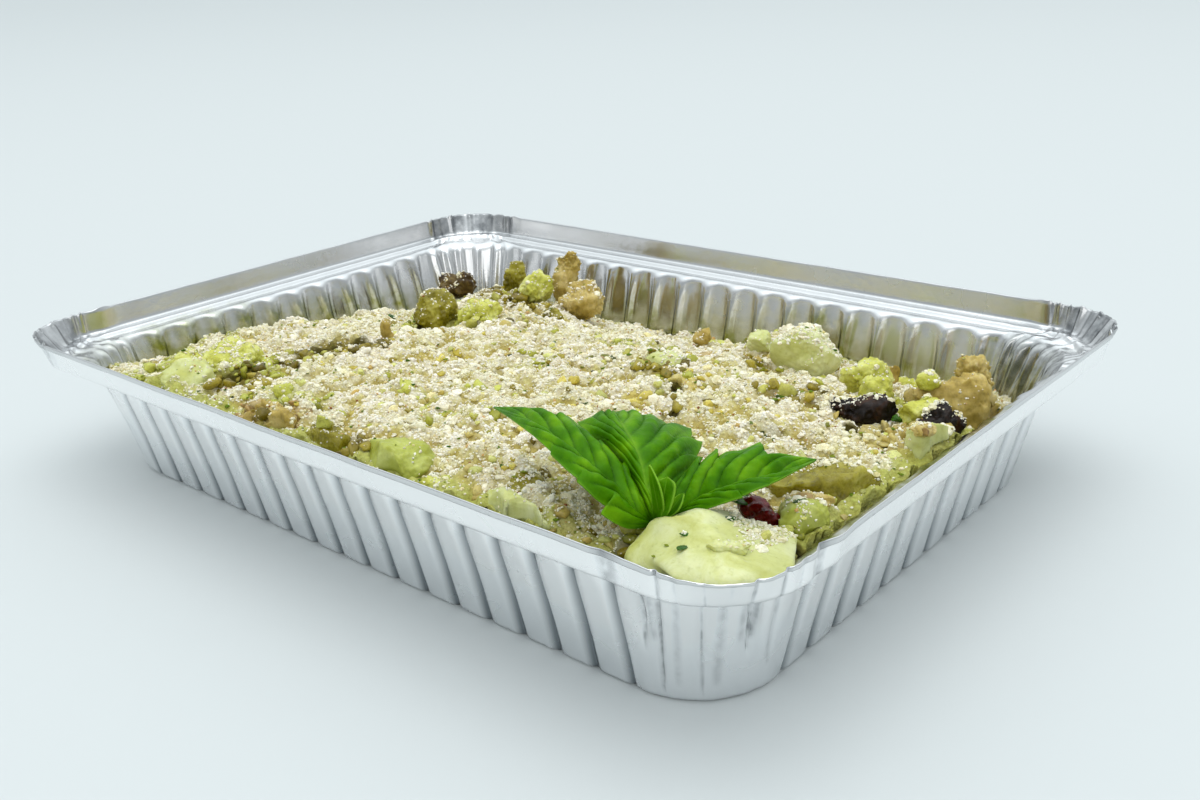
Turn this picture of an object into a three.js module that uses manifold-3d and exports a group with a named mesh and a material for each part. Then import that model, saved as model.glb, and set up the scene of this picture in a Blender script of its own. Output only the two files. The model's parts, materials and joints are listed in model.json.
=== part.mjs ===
// Foil tray meal: a fluted oblong foil container filled with a crumbed vegetable salad, with the
// larger pieces standing proud of the crumbs and a sprig of basil stuck in at one corner.
// Millimetres, +Z up. The origin is the middle of the base and +X runs along the long side.
import * as THREE from 'three';
import { mergeVertices } from 'three/addons/utils/BufferGeometryUtils.js';
import Module from 'manifold-3d';

// ---- Driving dimensions -------------------------------------------------------------------------

// Outside of the rim, and the thickness that stands for the foil.
const TRAY = { length: 256, width: 184.4, height: 41.8, wall: 0.8 };

// Upright flange round the top: its height, corners and heel, the folded hem along its edge, and
// how far the corners of the edge flare outwards.
const RIM = { height: 6.9, cornerRadius: 23, heel: 0.9, hemHeight: 2.1, hemStep: 0.35, flare: 3.2 };
const SHELF_LEVEL = TRAY.height - RIM.height;

// Flat ledge inside the flange: the width of its outer shelf and how little that falls inwards,
// then the step down to the inner shelf with its nosing and corners.
const LEDGE = { outerShelf: 5.2, fall: 0.02, step: 1.3, nosing: 0.4, cornerRadius: 19 };

// Sloping wall: how far it is set in from the flange at its top and foot, and its corner radii.
const WALL = { topInset: 9.2, footInset: 17.7, topRadius: 24.5, footRadius: 19 };

// Grooves pressed into the straight walls, at one pitch on all four sides.
const GROOVE = { pitch: 10.5, halfWidth: 1.7, depth: 1.6, onLongSide: 18, onShortSide: 11 };

const CORNER_STEPS = 6;
const QUARTER_TURN = Math.PI / 2;

// Clearance between neighbouring solids, how far bodies that are joined run into each other, and
// the room above the rim for what stands proud of it.
const GAP = 0.3;
const LAP = 0.05;
const HEADROOM = 12;

// The bed of salad and crumbs: its level at the near side, the slope down to the far long side, and
// the gentler slope towards the far end, whose line of fall is turned a little from the long axis.
const BED = {
  level: 35.5,
  columns: 22,
  rows: 16,
  sideSlope: { start: 10, slope: 0.3 },
  endSlope: { start: 33, slope: 0.19, across: 0.43, along: 0.9 },
};

// Broad mounds and hollows in the bed: middle, radius and rise.
const BED_SWELLS = [
  { x: 36, y: 68, radius: 15, rise: 10.5 },
  { x: 94, y: 70, radius: 18, rise: 4 },
  { x: -62, y: 44, radius: 24, rise: 8.5 },
  { x: -104, y: -26, radius: 24, rise: 3 },
  { x: -58, y: -46, radius: 10, rise: -4 },
  { x: -56, y: 5, radius: 8, rise: -5 },
  { x: -37, y: 6, radius: 6, rise: -4 },
  { x: 95, y: 7, radius: 9, rise: -5 },
  { x: 114, y: 52, radius: 14, rise: -7 },
  { x: 93, y: -76, radius: 7, rise: -5 },
  { x: 44, y: -50, radius: 26, rise: 1.5 },
  { x: 70, y: -20, radius: 24, rise: 1.5 },
];

// Small waves all over the bed: rise, radians per millimetre along X and Y, and phase.
const BED_WAVES = [
  { rise: 0.5, alongX: 0.21, alongY: 0.19, phase: 0.5 },
  { rise: 0.4, alongX: 0.43, alongY: -0.27, phase: 0 },
  { rise: 0.3, alongX: 0.31, alongY: 0.37, phase: 1.7 },
];

const FINISH = {
  foil: { color: '#c9ced2', roughness: 0.3, metalness: 0.9 },
  crumb: { color: '#e6ddc2', roughness: 0.95 },
  potato: { color: '#cdd07e', roughness: 0.55 },
  courgette: { color: '#a9b45c', roughness: 0.45 },
  artichoke: { color: '#8c8526', roughness: 0.4 },
  mushroom: { color: '#a98a55', roughness: 0.55 },
  aubergine: { color: '#2b1d1c', roughness: 0.4 },
  tomato: { color: '#6e0f14', roughness: 0.3 },
  basil: { color: '#4f8f14', roughness: 0.45 },
};

// Unevenness of a hand-cut piece, in shares of its half size: soft dents and a ripple round it,
// and flat knife cuts that take off whatever reaches beyond them.
const LUMP = {
  dent: { depth: 0.07, wavesX: 3.1, wavesY: 2.7 },
  ripple: { depth: 0.05, wavesZ: 5.3 },
  cuts: { count: 5, reach: 0.8, spread: 0.12, upward: 0.2 },
};

// Pieces that stand out of the bed: the middle of each in plan, the height of its top, its length,
// width and depth, the heading of its long axis, its lean, and how square it was cut (2 is round).
const CHUNKS = [
  { name: 'potato_near_corner', x: 107.5, y: -70, top: 41.2, size: [35, 27, 19], turn: 40, square: 2.6,
    finish: 'potato', facets: 3 },
  { name: 'potato_front_right', x: 63, y: -79.5, top: 39.2, size: [23, 13, 12], turn: 4, square: 2.6,
    finish: 'potato' },
  { name: 'potato_front_left', x: 22, y: -75.5, top: 39.6, size: [20, 15, 13], turn: 14, lean: 6,
    square: 2.8, finish: 'potato' },
  { name: 'potato_left_corner', x: -66.5, y: -73, top: 40.2, size: [17, 13, 15], turn: 20, lean: -8,
    square: 2.6, finish: 'potato' },
  { name: 'potato_far_side', x: 52, y: 52, top: 37.4, size: [20, 15, 17], turn: 12, square: 2.5,
    finish: 'potato' },
  { name: 'courgette_left', x: -73, y: -56, top: 38.2, size: [17, 15, 13], turn: 60, square: 2.6,
    finish: 'courgette' },
  { name: 'mushroom_front', x: -22, y: -77, top: 38.6, size: [19, 11, 10], turn: 6, square: 2.8,
    finish: 'mushroom' },
  { name: 'artichoke_front', x: -1, y: -77.5, top: 38, size: [13, 9, 9], turn: 0, square: 2.6,
    finish: 'artichoke' },
  { name: 'artichoke_by_basil', x: 57.6, y: -70.5, top: 38, size: [8, 8, 8], turn: 40, square: 3.2,
    finish: 'artichoke' },
  { name: 'artichoke_bar_right', x: 107, y: -33.5, top: 39.6, size: [25, 12, 9], turn: 41, square: 3,
    finish: 'artichoke' },
  { name: 'tomato_strip', x: 106.2, y: -54, top: 39, size: [11, 6.5, 6], turn: -22, square: 2.6,
    finish: 'tomato' },
  { name: 'potato_right_rim', x: 113.2, y: -49.5, top: 39.4, size: [14, 12, 11], turn: 70, square: 2.6,
    finish: 'potato' },
  { name: 'mushroom_torn_right', x: 107.6, y: 24.5, top: 41, size: [27, 6.5, 17], turn: 38, lean: -18,
    square: 3.4, finish: 'mushroom' },
  { name: 'mushroom_right_corner', x: 103.5, y: 47, top: 38.2, size: [12, 8, 13], turn: 60, square: 2.6,
    finish: 'mushroom' },
  { name: 'aubergine_left', x: 91, y: 13, top: 36.4, size: [17, 8, 7], turn: 36, square: 2.6,
    finish: 'aubergine' },
  { name: 'aubergine_right', x: 112.6, y: 11, top: 38, size: [10, 7, 8], turn: 50, square: 2.6,
    finish: 'aubergine' },
  { name: 'courgette_right_back', x: 79.5, y: 36, top: 36, size: [13, 10, 9], turn: 34, square: 2.5,
    finish: 'courgette' },
  { name: 'courgette_right_front', x: 88.5, y: 23.5, top: 37, size: [9, 8, 7], turn: 20, square: 2.4,
    finish: 'courgette' },
  { name: 'courgette_right_middle', x: 105, y: 15, top: 38, size: [11, 7, 7], turn: 36, square: 2.4,
    finish: 'courgette' },
  { name: 'potato_by_right_rim', x: 114.6, y: 0, top: 39.4, size: [12, 10, 9], turn: 60, square: 2.5,
    finish: 'potato' },
  { name: 'artichoke_upright_far', x: -67, y: 54.5, top: 39.2, size: [8, 6, 18], turn: 45, lean: 6,
    square: 2.4, finish: 'artichoke' },
  { name: 'mushroom_upright_far', x: -52.5, y: 65, top: 40.8, size: [10, 9, 22], turn: 50, lean: 4,
    square: 2.6, finish: 'mushroom' },
  { name: 'mushroom_far', x: -35.5, y: 53.5, top: 35.6, size: [13, 9, 13], turn: 40, square: 3,
    finish: 'mushroom' },
  { name: 'courgette_far', x: -53, y: 50.5, top: 36.4, size: [12, 8, 11], turn: 38, square: 2.4,
    finish: 'courgette' },
  { name: 'aubergine_far', x: -84, y: 42, top: 34.4, size: [16, 9, 9], turn: 36, square: 2.6,
    finish: 'aubergine' },
  { name: 'artichoke_far_left', x: -62.5, y: 13, top: 39, size: [14, 11, 14], turn: 40, square: 2.4,
    finish: 'artichoke' },
  { name: 'courgette_far_left', x: -46, y: 16, top: 37.6, size: [15, 9, 9], turn: 24, lean: 10,
    square: 2.6, finish: 'courgette' },
  { name: 'potato_middle', x: 34, y: 9, top: 38, size: [14, 8, 7], turn: 40, square: 2.6,
    finish: 'potato' },
];

// Basil sprig: where its stem enters the bed, the stem, and the outline that all its leaves share,
// with the half width at the stalk, the bulge near it and how much that tapers towards the tip.
const BASIL = {
  node: [90.5, -68, 35.5],
  stem: { radius: 1.3, sides: 6, above: 1.5, below: 7.5 },
  leaf: { thickness: 0.9, stalk: 0.8, bulge: 1.15, taper: 0.35, widest: 0.8 },
};

// Each leaf: its midrib from the stem to the tip, its widest half width, how far it folds along the
// midrib and how far it rolls about it.
const LEAVES = [
  { midrib: [[87, -70, 43], [81, -70, 48.5], [68, -66.5, 51.5], [54, -64, 50.5], [42.5, -63, 47]],
    halfWidth: 10.5, fold: -0.45, roll: -16 },
  { midrib: [[94.5, -65, 38.5], [100, -59.5, 42.5], [105, -53, 45], [109, -44.5, 45.5], [111, -39, 44]],
    halfWidth: 9, fold: 0.35, roll: 8 },
  { midrib: [[88.5, -65.5, 40.5], [86, -61, 46], [82.5, -57, 49.5], [78, -53.5, 50], [73, -50.5, 47.5]],
    halfWidth: 10.5, fold: 0.25, roll: 0 },
  { midrib: [[91.5, -70, 40], [92.5, -71.5, 45], [92, -72.5, 49.5]], halfWidth: 3.2, fold: 0.5, roll: 20 },
  { midrib: [[93.5, -69.5, 39.5], [96.5, -70.5, 44], [98.5, -70, 47.5]], halfWidth: 3.6, fold: 0.5,
    roll: -20 },
  { midrib: [[88, -72, 37.5], [84.5, -75, 39.5], [80.5, -76.5, 40.5]], halfWidth: 3.4, fold: 0.3, roll: 24 },
];

// ---- Solids and booleans ------------------------------------------------------------------------

const wasm = await Module();
wasm.setup();

/** The closed geometry as a solid, with its shared vertices merged. */
function toSolid(geometry) {
  const welded = mergeVertices(stripped(geometry.clone()));
  return new wasm.Manifold(new wasm.Mesh({
    numProp: 3,
    vertProperties: Float32Array.from(welded.attributes.position.array),
    triVerts: Uint32Array.from(welded.index.array),
  }));
}

/** The geometry with only its positions left. */
function stripped(geometry) {
  geometry.deleteAttribute('normal');
  geometry.deleteAttribute('uv');
  return geometry;
}

/** A mesh with its own material from a solid. */
function toMesh(name, solid, finish) {
  const { vertProperties, triVerts } = solid.getMesh();
  const geometry = new THREE.BufferGeometry();
  geometry.setAttribute('position', new THREE.BufferAttribute(vertProperties, 3));
  geometry.setIndex(new THREE.BufferAttribute(triVerts, 1));
  geometry.computeVertexNormals();
  const mesh = new THREE.Mesh(geometry, new THREE.MeshStandardMaterial(finish));
  mesh.name = name;
  return mesh;
}

/** The largest connected piece of a solid: a cut can leave slivers behind. */
function largestPiece(solid) {
  return solid.decompose().reduce((best, piece) => (piece.volume() > best.volume() ? piece : best));
}

// ---- Foil tray ----------------------------------------------------------------------------------

/** Middles of the grooves along one straight side, evenly about its centre. */
function grooveMiddles(count) {
  return Array.from({ length: count }, (_, i) => (i - (count - 1) / 2) * GROOVE.pitch);
}

/** Outline of the tray at one level, set in from the flange, with or without its grooves. */
function trayOutline({ inset, radius, groove = 0, flare = 0 }) {
  const halfLength = TRAY.length / 2 - inset;
  const halfWidth = TRAY.width / 2 - inset;
  const middle = new THREE.Vector2();
  const points = [];
  for (let side = 0; side < 4; side += 1) {
    const along = side % 2 === 0 ? halfLength : halfWidth;
    const out = side % 2 === 0 ? halfWidth : halfLength;
    const place = (x, y) => {
      points.push(new THREE.Vector2(x, y).rotateAround(middle, side * QUARTER_TURN));
    };
    if (groove > 0) {
      for (const at of grooveMiddles(side % 2 === 0 ? GROOVE.onLongSide : GROOVE.onShortSide)) {
        place(at - GROOVE.halfWidth, -out);
        place(at, groove - out);
        place(at + GROOVE.halfWidth, -out);
      }
    }
    for (let step = 0; step <= CORNER_STEPS; step += 1) {
      const turn = (step / CORNER_STEPS) * QUARTER_TURN;
      const reach = radius + flare * Math.sin(2 * turn) ** 2;
      place(along - radius + reach * Math.sin(turn), radius - out - reach * Math.cos(turn));
    }
  }
  return points;
}

/** A closed body through the outlines of successive levels, which all have as many points. */
function loft(levels) {
  const outlines = levels.map(trayOutline);
  const last = levels.length - 1;
  const blank = new THREE.ExtrudeGeometry(new THREE.Shape(outlines[last]), {
    depth: last,
    steps: last,
    bevelEnabled: false,
  });
  const key = (x, y) => `${Math.fround(x)},${Math.fround(y)}`;
  const indexOf = new Map(outlines[last].map((point, i) => [key(point.x, point.y), i]));
  const position = blank.attributes.position;
  for (let i = 0; i < position.count; i += 1) {
    const level = Math.round(position.getZ(i));
    const point = outlines[level][indexOf.get(key(position.getX(i), position.getY(i)))];
    position.setXYZ(i, point.x, point.y, levels[level].z);
  }
  return toSolid(blank);
}

/** Grooved tub from its floor up through the ledge, drawn in by some distance from the outside. */
function tub(depth) {
  const { topInset, footInset, topRadius, footRadius } = WALL;
  const top = SHELF_LEVEL - LEDGE.step - TRAY.wall + depth + LAP;
  return loft([
    { z: depth, inset: footInset + depth, radius: footRadius - depth, groove: GROOVE.depth },
    { z: top, inset: topInset + depth, radius: topRadius - depth, groove: GROOVE.depth },
  ]);
}

/** How far the corners of the flange have flared outwards at one level. */
function flareAt(z) {
  return RIM.flare * (z - SHELF_LEVEL) / RIM.height;
}

/** Flange and ledge as one block, from the underside of the inner shelf to the top of the rim. */
function rimBlock() {
  const { cornerRadius, heel, hemHeight, hemStep } = RIM;
  const { outerShelf, fall, step, nosing, cornerRadius: ledgeRadius } = LEDGE;
  const top = TRAY.height;
  const under = SHELF_LEVEL - TRAY.wall;
  const edge = (z, inset) => ({ z, inset, radius: cornerRadius - inset, flare: flareAt(z) });
  return loft([
    { z: under - step, inset: outerShelf, radius: ledgeRadius },
    { z: under, inset: outerShelf - nosing, radius: ledgeRadius },
    { z: under + fall, inset: hemStep + heel, radius: cornerRadius - heel },
    edge(SHELF_LEVEL, hemStep),
    edge(top - hemHeight - hemStep, hemStep),
    edge(top - hemHeight, 0),
    edge(top - hemStep, 0),
    edge(top, hemStep),
  ]);
}

/** The open space inside the flange, over both shelves, drawn in by some clearance. */
function rimSpace(clearance) {
  const { cornerRadius, hemStep, heel, flare } = RIM;
  const { outerShelf, fall, step, nosing, cornerRadius: ledgeRadius } = LEDGE;
  const inset = hemStep + TRAY.wall + clearance;
  const radius = cornerRadius - inset;
  const floor = SHELF_LEVEL + clearance;
  return loft([
    { z: floor - step, inset: outerShelf + TRAY.wall + clearance, radius: ledgeRadius - inset },
    { z: floor, inset: outerShelf + TRAY.wall - nosing + clearance, radius: ledgeRadius - inset },
    { z: floor + fall, inset: inset + heel, radius: radius - heel },
    { z: floor + heel, inset, radius, flare: flareAt(floor + heel) },
    { z: TRAY.height, inset, radius, flare },
    { z: TRAY.height + HEADROOM, inset, radius, flare },
  ]);
}

function foilTray() {
  const outside = tub(0).add(rimBlock());
  return outside.subtract(tub(TRAY.wall)).subtract(rimSpace(0));
}

/** The well that food can fill, inside the crests of the grooves, and straight up above the wall. */
function foodWell(rise) {
  const skin = TRAY.wall + GAP;
  const inset = skin + GROOVE.depth;
  const mouth = { inset: WALL.topInset + inset, radius: WALL.topRadius - inset };
  return loft([
    { z: skin, inset: WALL.footInset + inset, radius: WALL.footRadius - inset },
    { z: SHELF_LEVEL - LEDGE.step, ...mouth },
    { z: SHELF_LEVEL + rise, ...mouth },
  ]);
}

/** Everywhere inside the tray that a piece can take up: the well and the room over the ledge. */
function foodSpace() {
  return foodWell(LAP).add(rimSpace(GAP));
}

// ---- Bed of salad and crumbs --------------------------------------------------------------------

/** Height of the crumbed surface at a place in the tray. */
function bedHeight(x, y) {
  const { level, sideSlope, endSlope } = BED;
  const sideFall = sideSlope.slope * Math.max(0, y - sideSlope.start);
  const downEnd = endSlope.across * y - endSlope.along * x;
  const endFall = endSlope.slope * Math.max(0, downEnd - endSlope.start);
  let z = level - Math.hypot(sideFall, endFall);
  for (const { x: cx, y: cy, radius, rise } of BED_SWELLS) {
    z += rise * Math.exp(-((x - cx) ** 2 + (y - cy) ** 2) / radius ** 2);
  }
  for (const { rise, alongX, alongY, phase } of BED_WAVES) {
    z += rise * Math.sin(alongX * x + alongY * y + phase);
  }
  return z;
}

/** The well up to the crumbed surface: what lies over the surface is cut off it. */
function saladBed() {
  const headroom = new THREE.BoxGeometry(TRAY.length, TRAY.width, TRAY.height, BED.columns, BED.rows, 1);
  const position = headroom.attributes.position;
  for (let i = 0; i < position.count; i += 1) {
    const isUnder = position.getZ(i) < 0;
    position.setZ(i, isUnder ? bedHeight(position.getX(i), position.getY(i)) : 2 * TRAY.height);
  }
  return foodWell(HEADROOM).subtract(toSolid(headroom));
}

// ---- Pieces -------------------------------------------------------------------------------------

/** A repeatable number from 0 to 1 for a piece and a count. */
function chance(seed, count) {
  const value = Math.sin(seed * 12.9898 + count * 78.233) * 43758.5453;
  return value - Math.floor(value);
}

/** The knife cuts of one piece: a direction for each and how far out it passes. */
function knifeCuts(seed) {
  const { count, reach, spread, upward } = LUMP.cuts;
  const lean = (i) => chance(seed, i) - 0.5;
  return Array.from({ length: count }, (_, i) => ({
    normal: new THREE.Vector3(lean(i), lean(i + 9), lean(i + 17) + upward).normalize(),
    reach: reach + spread * chance(seed, i + 31),
  }));
}

/** A hand-cut lump of unit half size: a rounded block with soft dents and a few knife cuts. */
function lumpGeometry(square, facets, seed) {
  const { dent, ripple } = LUMP;
  const lump = mergeVertices(stripped(new THREE.IcosahedronGeometry(1, facets - 1)));
  const position = lump.attributes.position;
  const cuts = knifeCuts(seed);
  const point = new THREE.Vector3();
  for (let i = 0; i < position.count; i += 1) {
    point.fromBufferAttribute(position, i).normalize();
    const block = Math.abs(point.x) ** square + Math.abs(point.y) ** square + Math.abs(point.z) ** square;
    const dented = dent.depth * Math.sin(dent.wavesX * point.x + seed)
      * Math.sin(dent.wavesY * point.y + 2 * seed);
    const rippled = ripple.depth * Math.sin(ripple.wavesZ * point.z + 3 * seed);
    point.multiplyScalar((1 + dented + rippled) * block ** (-1 / square));
    for (const { normal, reach } of cuts) {
      const over = point.dot(normal) - reach;
      if (over > 0) point.addScaledVector(normal, -over);
    }
    position.setXYZ(i, point.x, point.y, point.z);
  }
  return lump;
}

/** One piece where it lies, grown all round by some clearance. */
function chunkSolid({ x, y, top, size, turn, lean = 0, square, facets = 2 }, seed, clearance) {
  const lump = lumpGeometry(square, facets, seed);
  lump.scale(...size.map((side) => side / 2 + clearance));
  lump.rotateY(THREE.MathUtils.degToRad(lean));
  lump.rotateZ(THREE.MathUtils.degToRad(turn));
  lump.translate(x, y, top - size[2] / 2);
  return toSolid(lump);
}

// ---- Basil --------------------------------------------------------------------------------------

/** A leaf of even thickness along its midrib, grown all round by some clearance. */
function leafSolid({ midrib, halfWidth, fold, roll }, clearance) {
  const { thickness, stalk, bulge, taper, widest } = BASIL.leaf;
  const route = new THREE.CatmullRomCurve3([BASIL.node, ...midrib].map((p) => new THREE.Vector3(...p)));
  const blade = new THREE.BoxGeometry(1, 2, 1, midrib.length + 2, 2, 1);
  const position = blade.attributes.position;
  const up = new THREE.Vector3(0, 0, 1);
  for (let i = 0; i < position.count; i += 1) {
    const u = position.getX(i) + 0.5;
    const v = position.getY(i);
    const tangent = route.getTangentAt(u);
    const side = new THREE.Vector3().crossVectors(up, tangent).normalize()
      .applyAxisAngle(tangent, THREE.MathUtils.degToRad(roll));
    const normal = new THREE.Vector3().crossVectors(tangent, side).normalize();
    const spread = halfWidth * Math.sin(Math.PI * u ** widest) * (bulge - taper * u);
    const reach = stalk + spread + clearance;
    const lift = fold * Math.abs(v) * reach + position.getZ(i) * (thickness + 2 * clearance);
    const point = route.getPointAt(u).addScaledVector(side, v * reach).addScaledVector(normal, lift);
    point.addScaledVector(tangent, u * clearance);
    position.setXYZ(i, point.x, point.y, point.z);
  }
  return toSolid(blade);
}

/** The stem with all its leaves as one solid, grown all round by some clearance. */
function basilSprig(clearance) {
  const { node: [x, y, z], stem: { radius, sides, above, below } } = BASIL;
  const thickness = radius + clearance;
  const stem = new THREE.CylinderGeometry(thickness, thickness, above + below + 2 * clearance, sides);
  stem.rotateX(QUARTER_TURN);
  stem.translate(x, y, z + (above - below) / 2);
  return LEAVES.reduce((sprig, leaf) => sprig.add(leafSolid(leaf, clearance)), toSolid(stem));
}

// ---- Assembly -----------------------------------------------------------------------------------

const meal = new THREE.Group();
meal.add(toMesh('foil_tray', foilTray(), FINISH.foil));

// Each piece keeps clear of the tray, the sprig and the pieces before it, and the bed of them all.
const space = foodSpace();
let taken = basilSprig(GAP);
let bed = saladBed().subtract(taken);

const pieces = new THREE.Group();
CHUNKS.forEach((chunk, i) => {
  const piece = largestPiece(chunkSolid(chunk, i + 1, 0).intersect(space).subtract(taken));
  const room = chunkSolid(chunk, i + 1, GAP);
  taken = taken.add(room);
  bed = bed.subtract(room);
  pieces.add(toMesh(chunk.name, piece, FINISH[chunk.finish]));
});
meal.add(toMesh('salad_bed', largestPiece(bed), FINISH.crumb));
meal.add(pieces);
meal.add(toMesh('basil_sprig', basilSprig(0), FINISH.basil));

export default meal;
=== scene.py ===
import json
import math
import random

import bmesh
import bpy
import numpy as np
from mathutils import Matrix, Vector, noise
from mathutils.bvhtree import BVHTree


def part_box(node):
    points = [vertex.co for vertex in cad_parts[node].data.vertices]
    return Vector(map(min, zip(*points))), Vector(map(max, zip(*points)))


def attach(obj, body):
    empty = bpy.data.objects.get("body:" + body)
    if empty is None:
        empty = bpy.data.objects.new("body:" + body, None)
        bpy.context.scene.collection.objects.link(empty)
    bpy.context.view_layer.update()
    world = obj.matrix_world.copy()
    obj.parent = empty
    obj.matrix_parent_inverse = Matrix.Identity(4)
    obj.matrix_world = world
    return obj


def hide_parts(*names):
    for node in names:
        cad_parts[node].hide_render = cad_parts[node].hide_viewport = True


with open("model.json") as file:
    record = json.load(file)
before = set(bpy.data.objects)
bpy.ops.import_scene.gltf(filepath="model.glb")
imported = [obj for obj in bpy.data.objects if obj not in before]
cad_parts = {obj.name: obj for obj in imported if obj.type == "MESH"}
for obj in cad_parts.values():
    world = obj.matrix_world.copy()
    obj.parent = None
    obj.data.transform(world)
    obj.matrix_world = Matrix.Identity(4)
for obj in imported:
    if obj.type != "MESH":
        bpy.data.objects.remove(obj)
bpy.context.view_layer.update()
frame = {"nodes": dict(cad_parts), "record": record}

MM = 0.001


# ---- Foil tray ---------------------------------------------------------------------------------
# One sheet of household aluminium about a tenth of a millimetre thick, pressed in a die into a
# fluted tub with a flat ledge. Its edge is turned up as a flange and rolled outwards into a hem,
# and the metal to spare at the corners gathers into pleats.

TRAY_LENGTH, TRAY_WIDTH, TRAY_HEIGHT = 256, 184.4, 41.8
OUTER_SHELF, INNER_SHELF = 34.85, 33.7
NOSING_START = 8.2
LOBE_TOP, LOBE_FOOT = 9.55, 17.9
FLUTE_PITCH, FLUTE_DEPTH = 10.5, 1.8
FLUTE_TOP_HALF, FLUTE_FOOT_HALF = 3.8, 2.1
FLUTES_LONG, FLUTES_SHORT = 17, 10
FOOT_START = 1.7
FOIL_THICKNESS = 0.18

# Corner radius of the outline for each distance that it is set in from the rim.
RADIUS_AT = ([0, 1, 5, 6.2, 8.6, 9.6, 18, 25, 40], [23, 22, 19, 19.6, 23.5, 24.5, 19, 14, 4])

# The four corners, near, right, far and left: how far the flange flares out and is pulled in, and
# how crumpled the inside is.
CORNER_FLARE, CORNER_PULL = (3.2, 4.6, 3.0, 4.2), (0, 2.2, 0.8, 2.4)
CORNER_CRUMPLE = (0.35, 1.0, 0.9, 0.8)

# Sharp upright creases pinched into the flange of each corner: degrees round it, width in degrees
# and depth in millimetres.
FLANGE_CREASES = (
    ((-7.5, 1.6, 0.8), (-4, 1.8, 0.6), (11, 1.8, 0.8), (20, 2.5, 0.3), (33, 1.6, 0.35), (44, 3, 0.2),
     (54, 1.7, 0.9), (60, 3, -0.25), (69, 1.7, 0.8), (80, 3, 0.3), (92, 2.2, 1.3), (97, 3, -0.5)),
    ((16, 2.6, 1.1), (30, 2, 0.8), (41, 2, 0.8), (53, 2.4, 1.1), (60, 1.7, 0.6), (67.5, 2.4, 1.2),
     (76, 2.2, 0.8), (84, 2, 1), (91, 2.8, 1.6)),
    ((-1.5, 2.6, 1.2), (8, 2, 0.6), (22, 2.4, 0.7), (33, 2, 0.5), (44.5, 2.4, 1), (52, 2, 0.5),
     (62.5, 2.4, 1.2), (74, 2.2, 0.7), (85.5, 2.6, 1.4)),
    ((-4.5, 2.8, 1.6), (4, 2, 1), (11.5, 2.4, 1), (20, 2, 0.5), (29, 2.8, 1), (45, 2.4, 0.8),
     (62, 2.4, 0.8), (80.5, 2.8, 1)),
)

# Creases in the corner walls: degrees round it at the top and at the foot, width in degrees, depth,
# and the heights that they run between. A negative depth stands out.
WALL_CREASES = (
    ((17.5, 16, 1.4, 1, 3, 32), (14, 12.5, 2.5, -0.4, 16, 32), (9, 6, 1.5, 0.8, 14, 27),
     (37, 39, 1.2, 0.6, 2, 32), (60.5, 65, 1.4, 1.5, 13, 32), (57.5, 57, 2.5, -0.5, 16, 32),
     (64, 63, 2.5, -0.8, 18, 32), (48, 46, 4, -0.3, 4, 30), (26, 25, 3, -0.3, 6, 31),
     (78, 77, 2, 0.4, 8, 31)),
    ((22, 18, 3, 1.6, 6, 33), (33, 28, 2.4, 1.4, 8, 33), (47, 44, 3, 1.5, 5, 33),
     (58, 57, 2.2, 1.2, 10, 33), (70, 72, 3, 1.5, 8, 33), (80, 80, 2.4, 1.2, 8, 33)),
    ((10, 14, 2.4, 1.2, 8, 33), (20, 24, 3, 1.5, 8, 33), (38, 40, 2.6, 1.6, 8, 33),
     (55, 54, 2.4, 1.3, 8, 33), (68, 58, 3, 1.6, 8, 33), (80, 70, 2.6, 1.6, 10, 33)),
    ((12, 20, 3, 1.5, 10, 33), (24, 34, 2.4, 1.5, 12, 33), (36, 44, 3, 1.5, 10, 33),
     (55, 55, 3, 1.2, 8, 33), (72, 70, 3, 1.2, 8, 33)),
)


def smooth(x):
    x = min(1.0, max(0.0, x))
    return x * x * (3.0 - 2.0 * x)


def wave(*at):
    """Smooth noise from -1 to 1 at a place."""
    return noise.noise(Vector(at))


def flute(along, side, half_width):
    """How deep the groove is at a place along a straight side, from 0 on a lobe to 1."""
    if abs(along) > (9 if side % 2 == 0 else 5.5) * FLUTE_PITCH:
        return 0.0
    cell = along / FLUTE_PITCH + (0.5 if side % 2 == 0 else 0.0)
    off = abs(cell - round(cell)) * FLUTE_PITCH
    return 0.5 + 0.5 * math.cos(min(1.0, off / half_width) * math.pi)


def lobe_inset(z):
    """How far the lobes of the wall are set in from the rim at one height."""
    return LOBE_FOOT + (LOBE_TOP - LOBE_FOOT) * z / INNER_SHELF


def fluted_half(side):
    """Half the length of a side's row of flutes."""
    return (FLUTES_LONG if side % 2 == 0 else FLUTES_SHORT) * FLUTE_PITCH / 2


def columns():
    """Places round the outline: side, and either where along it or the angle round its corner."""
    found = []
    in_pitch = [0.0, 0.7, 1.4, 2.2, 3.6, 5.25, 6.9, 8.3, 9.1, 9.8]
    for side in range(4):
        pitches, spare = (FLUTES_LONG, 6) if side % 2 == 0 else (FLUTES_SHORT, 8)
        limit = fluted_half(side)
        found += [(side, "run_in", i / spare) for i in range(spare)]
        for k in range(pitches):
            found += [(side, "flutes", -limit + k * FLUTE_PITCH + step) for step in in_pitch]
        found.append((side, "flutes", limit))
        found += [(side, "run_out", (i + 1) / spare) for i in range(spare - 1)]
        parts = (76, 84, 64, 64)[side]
        found += [(side, "corner", 90.0 * i / parts) for i in range(parts)]
    return found


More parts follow.
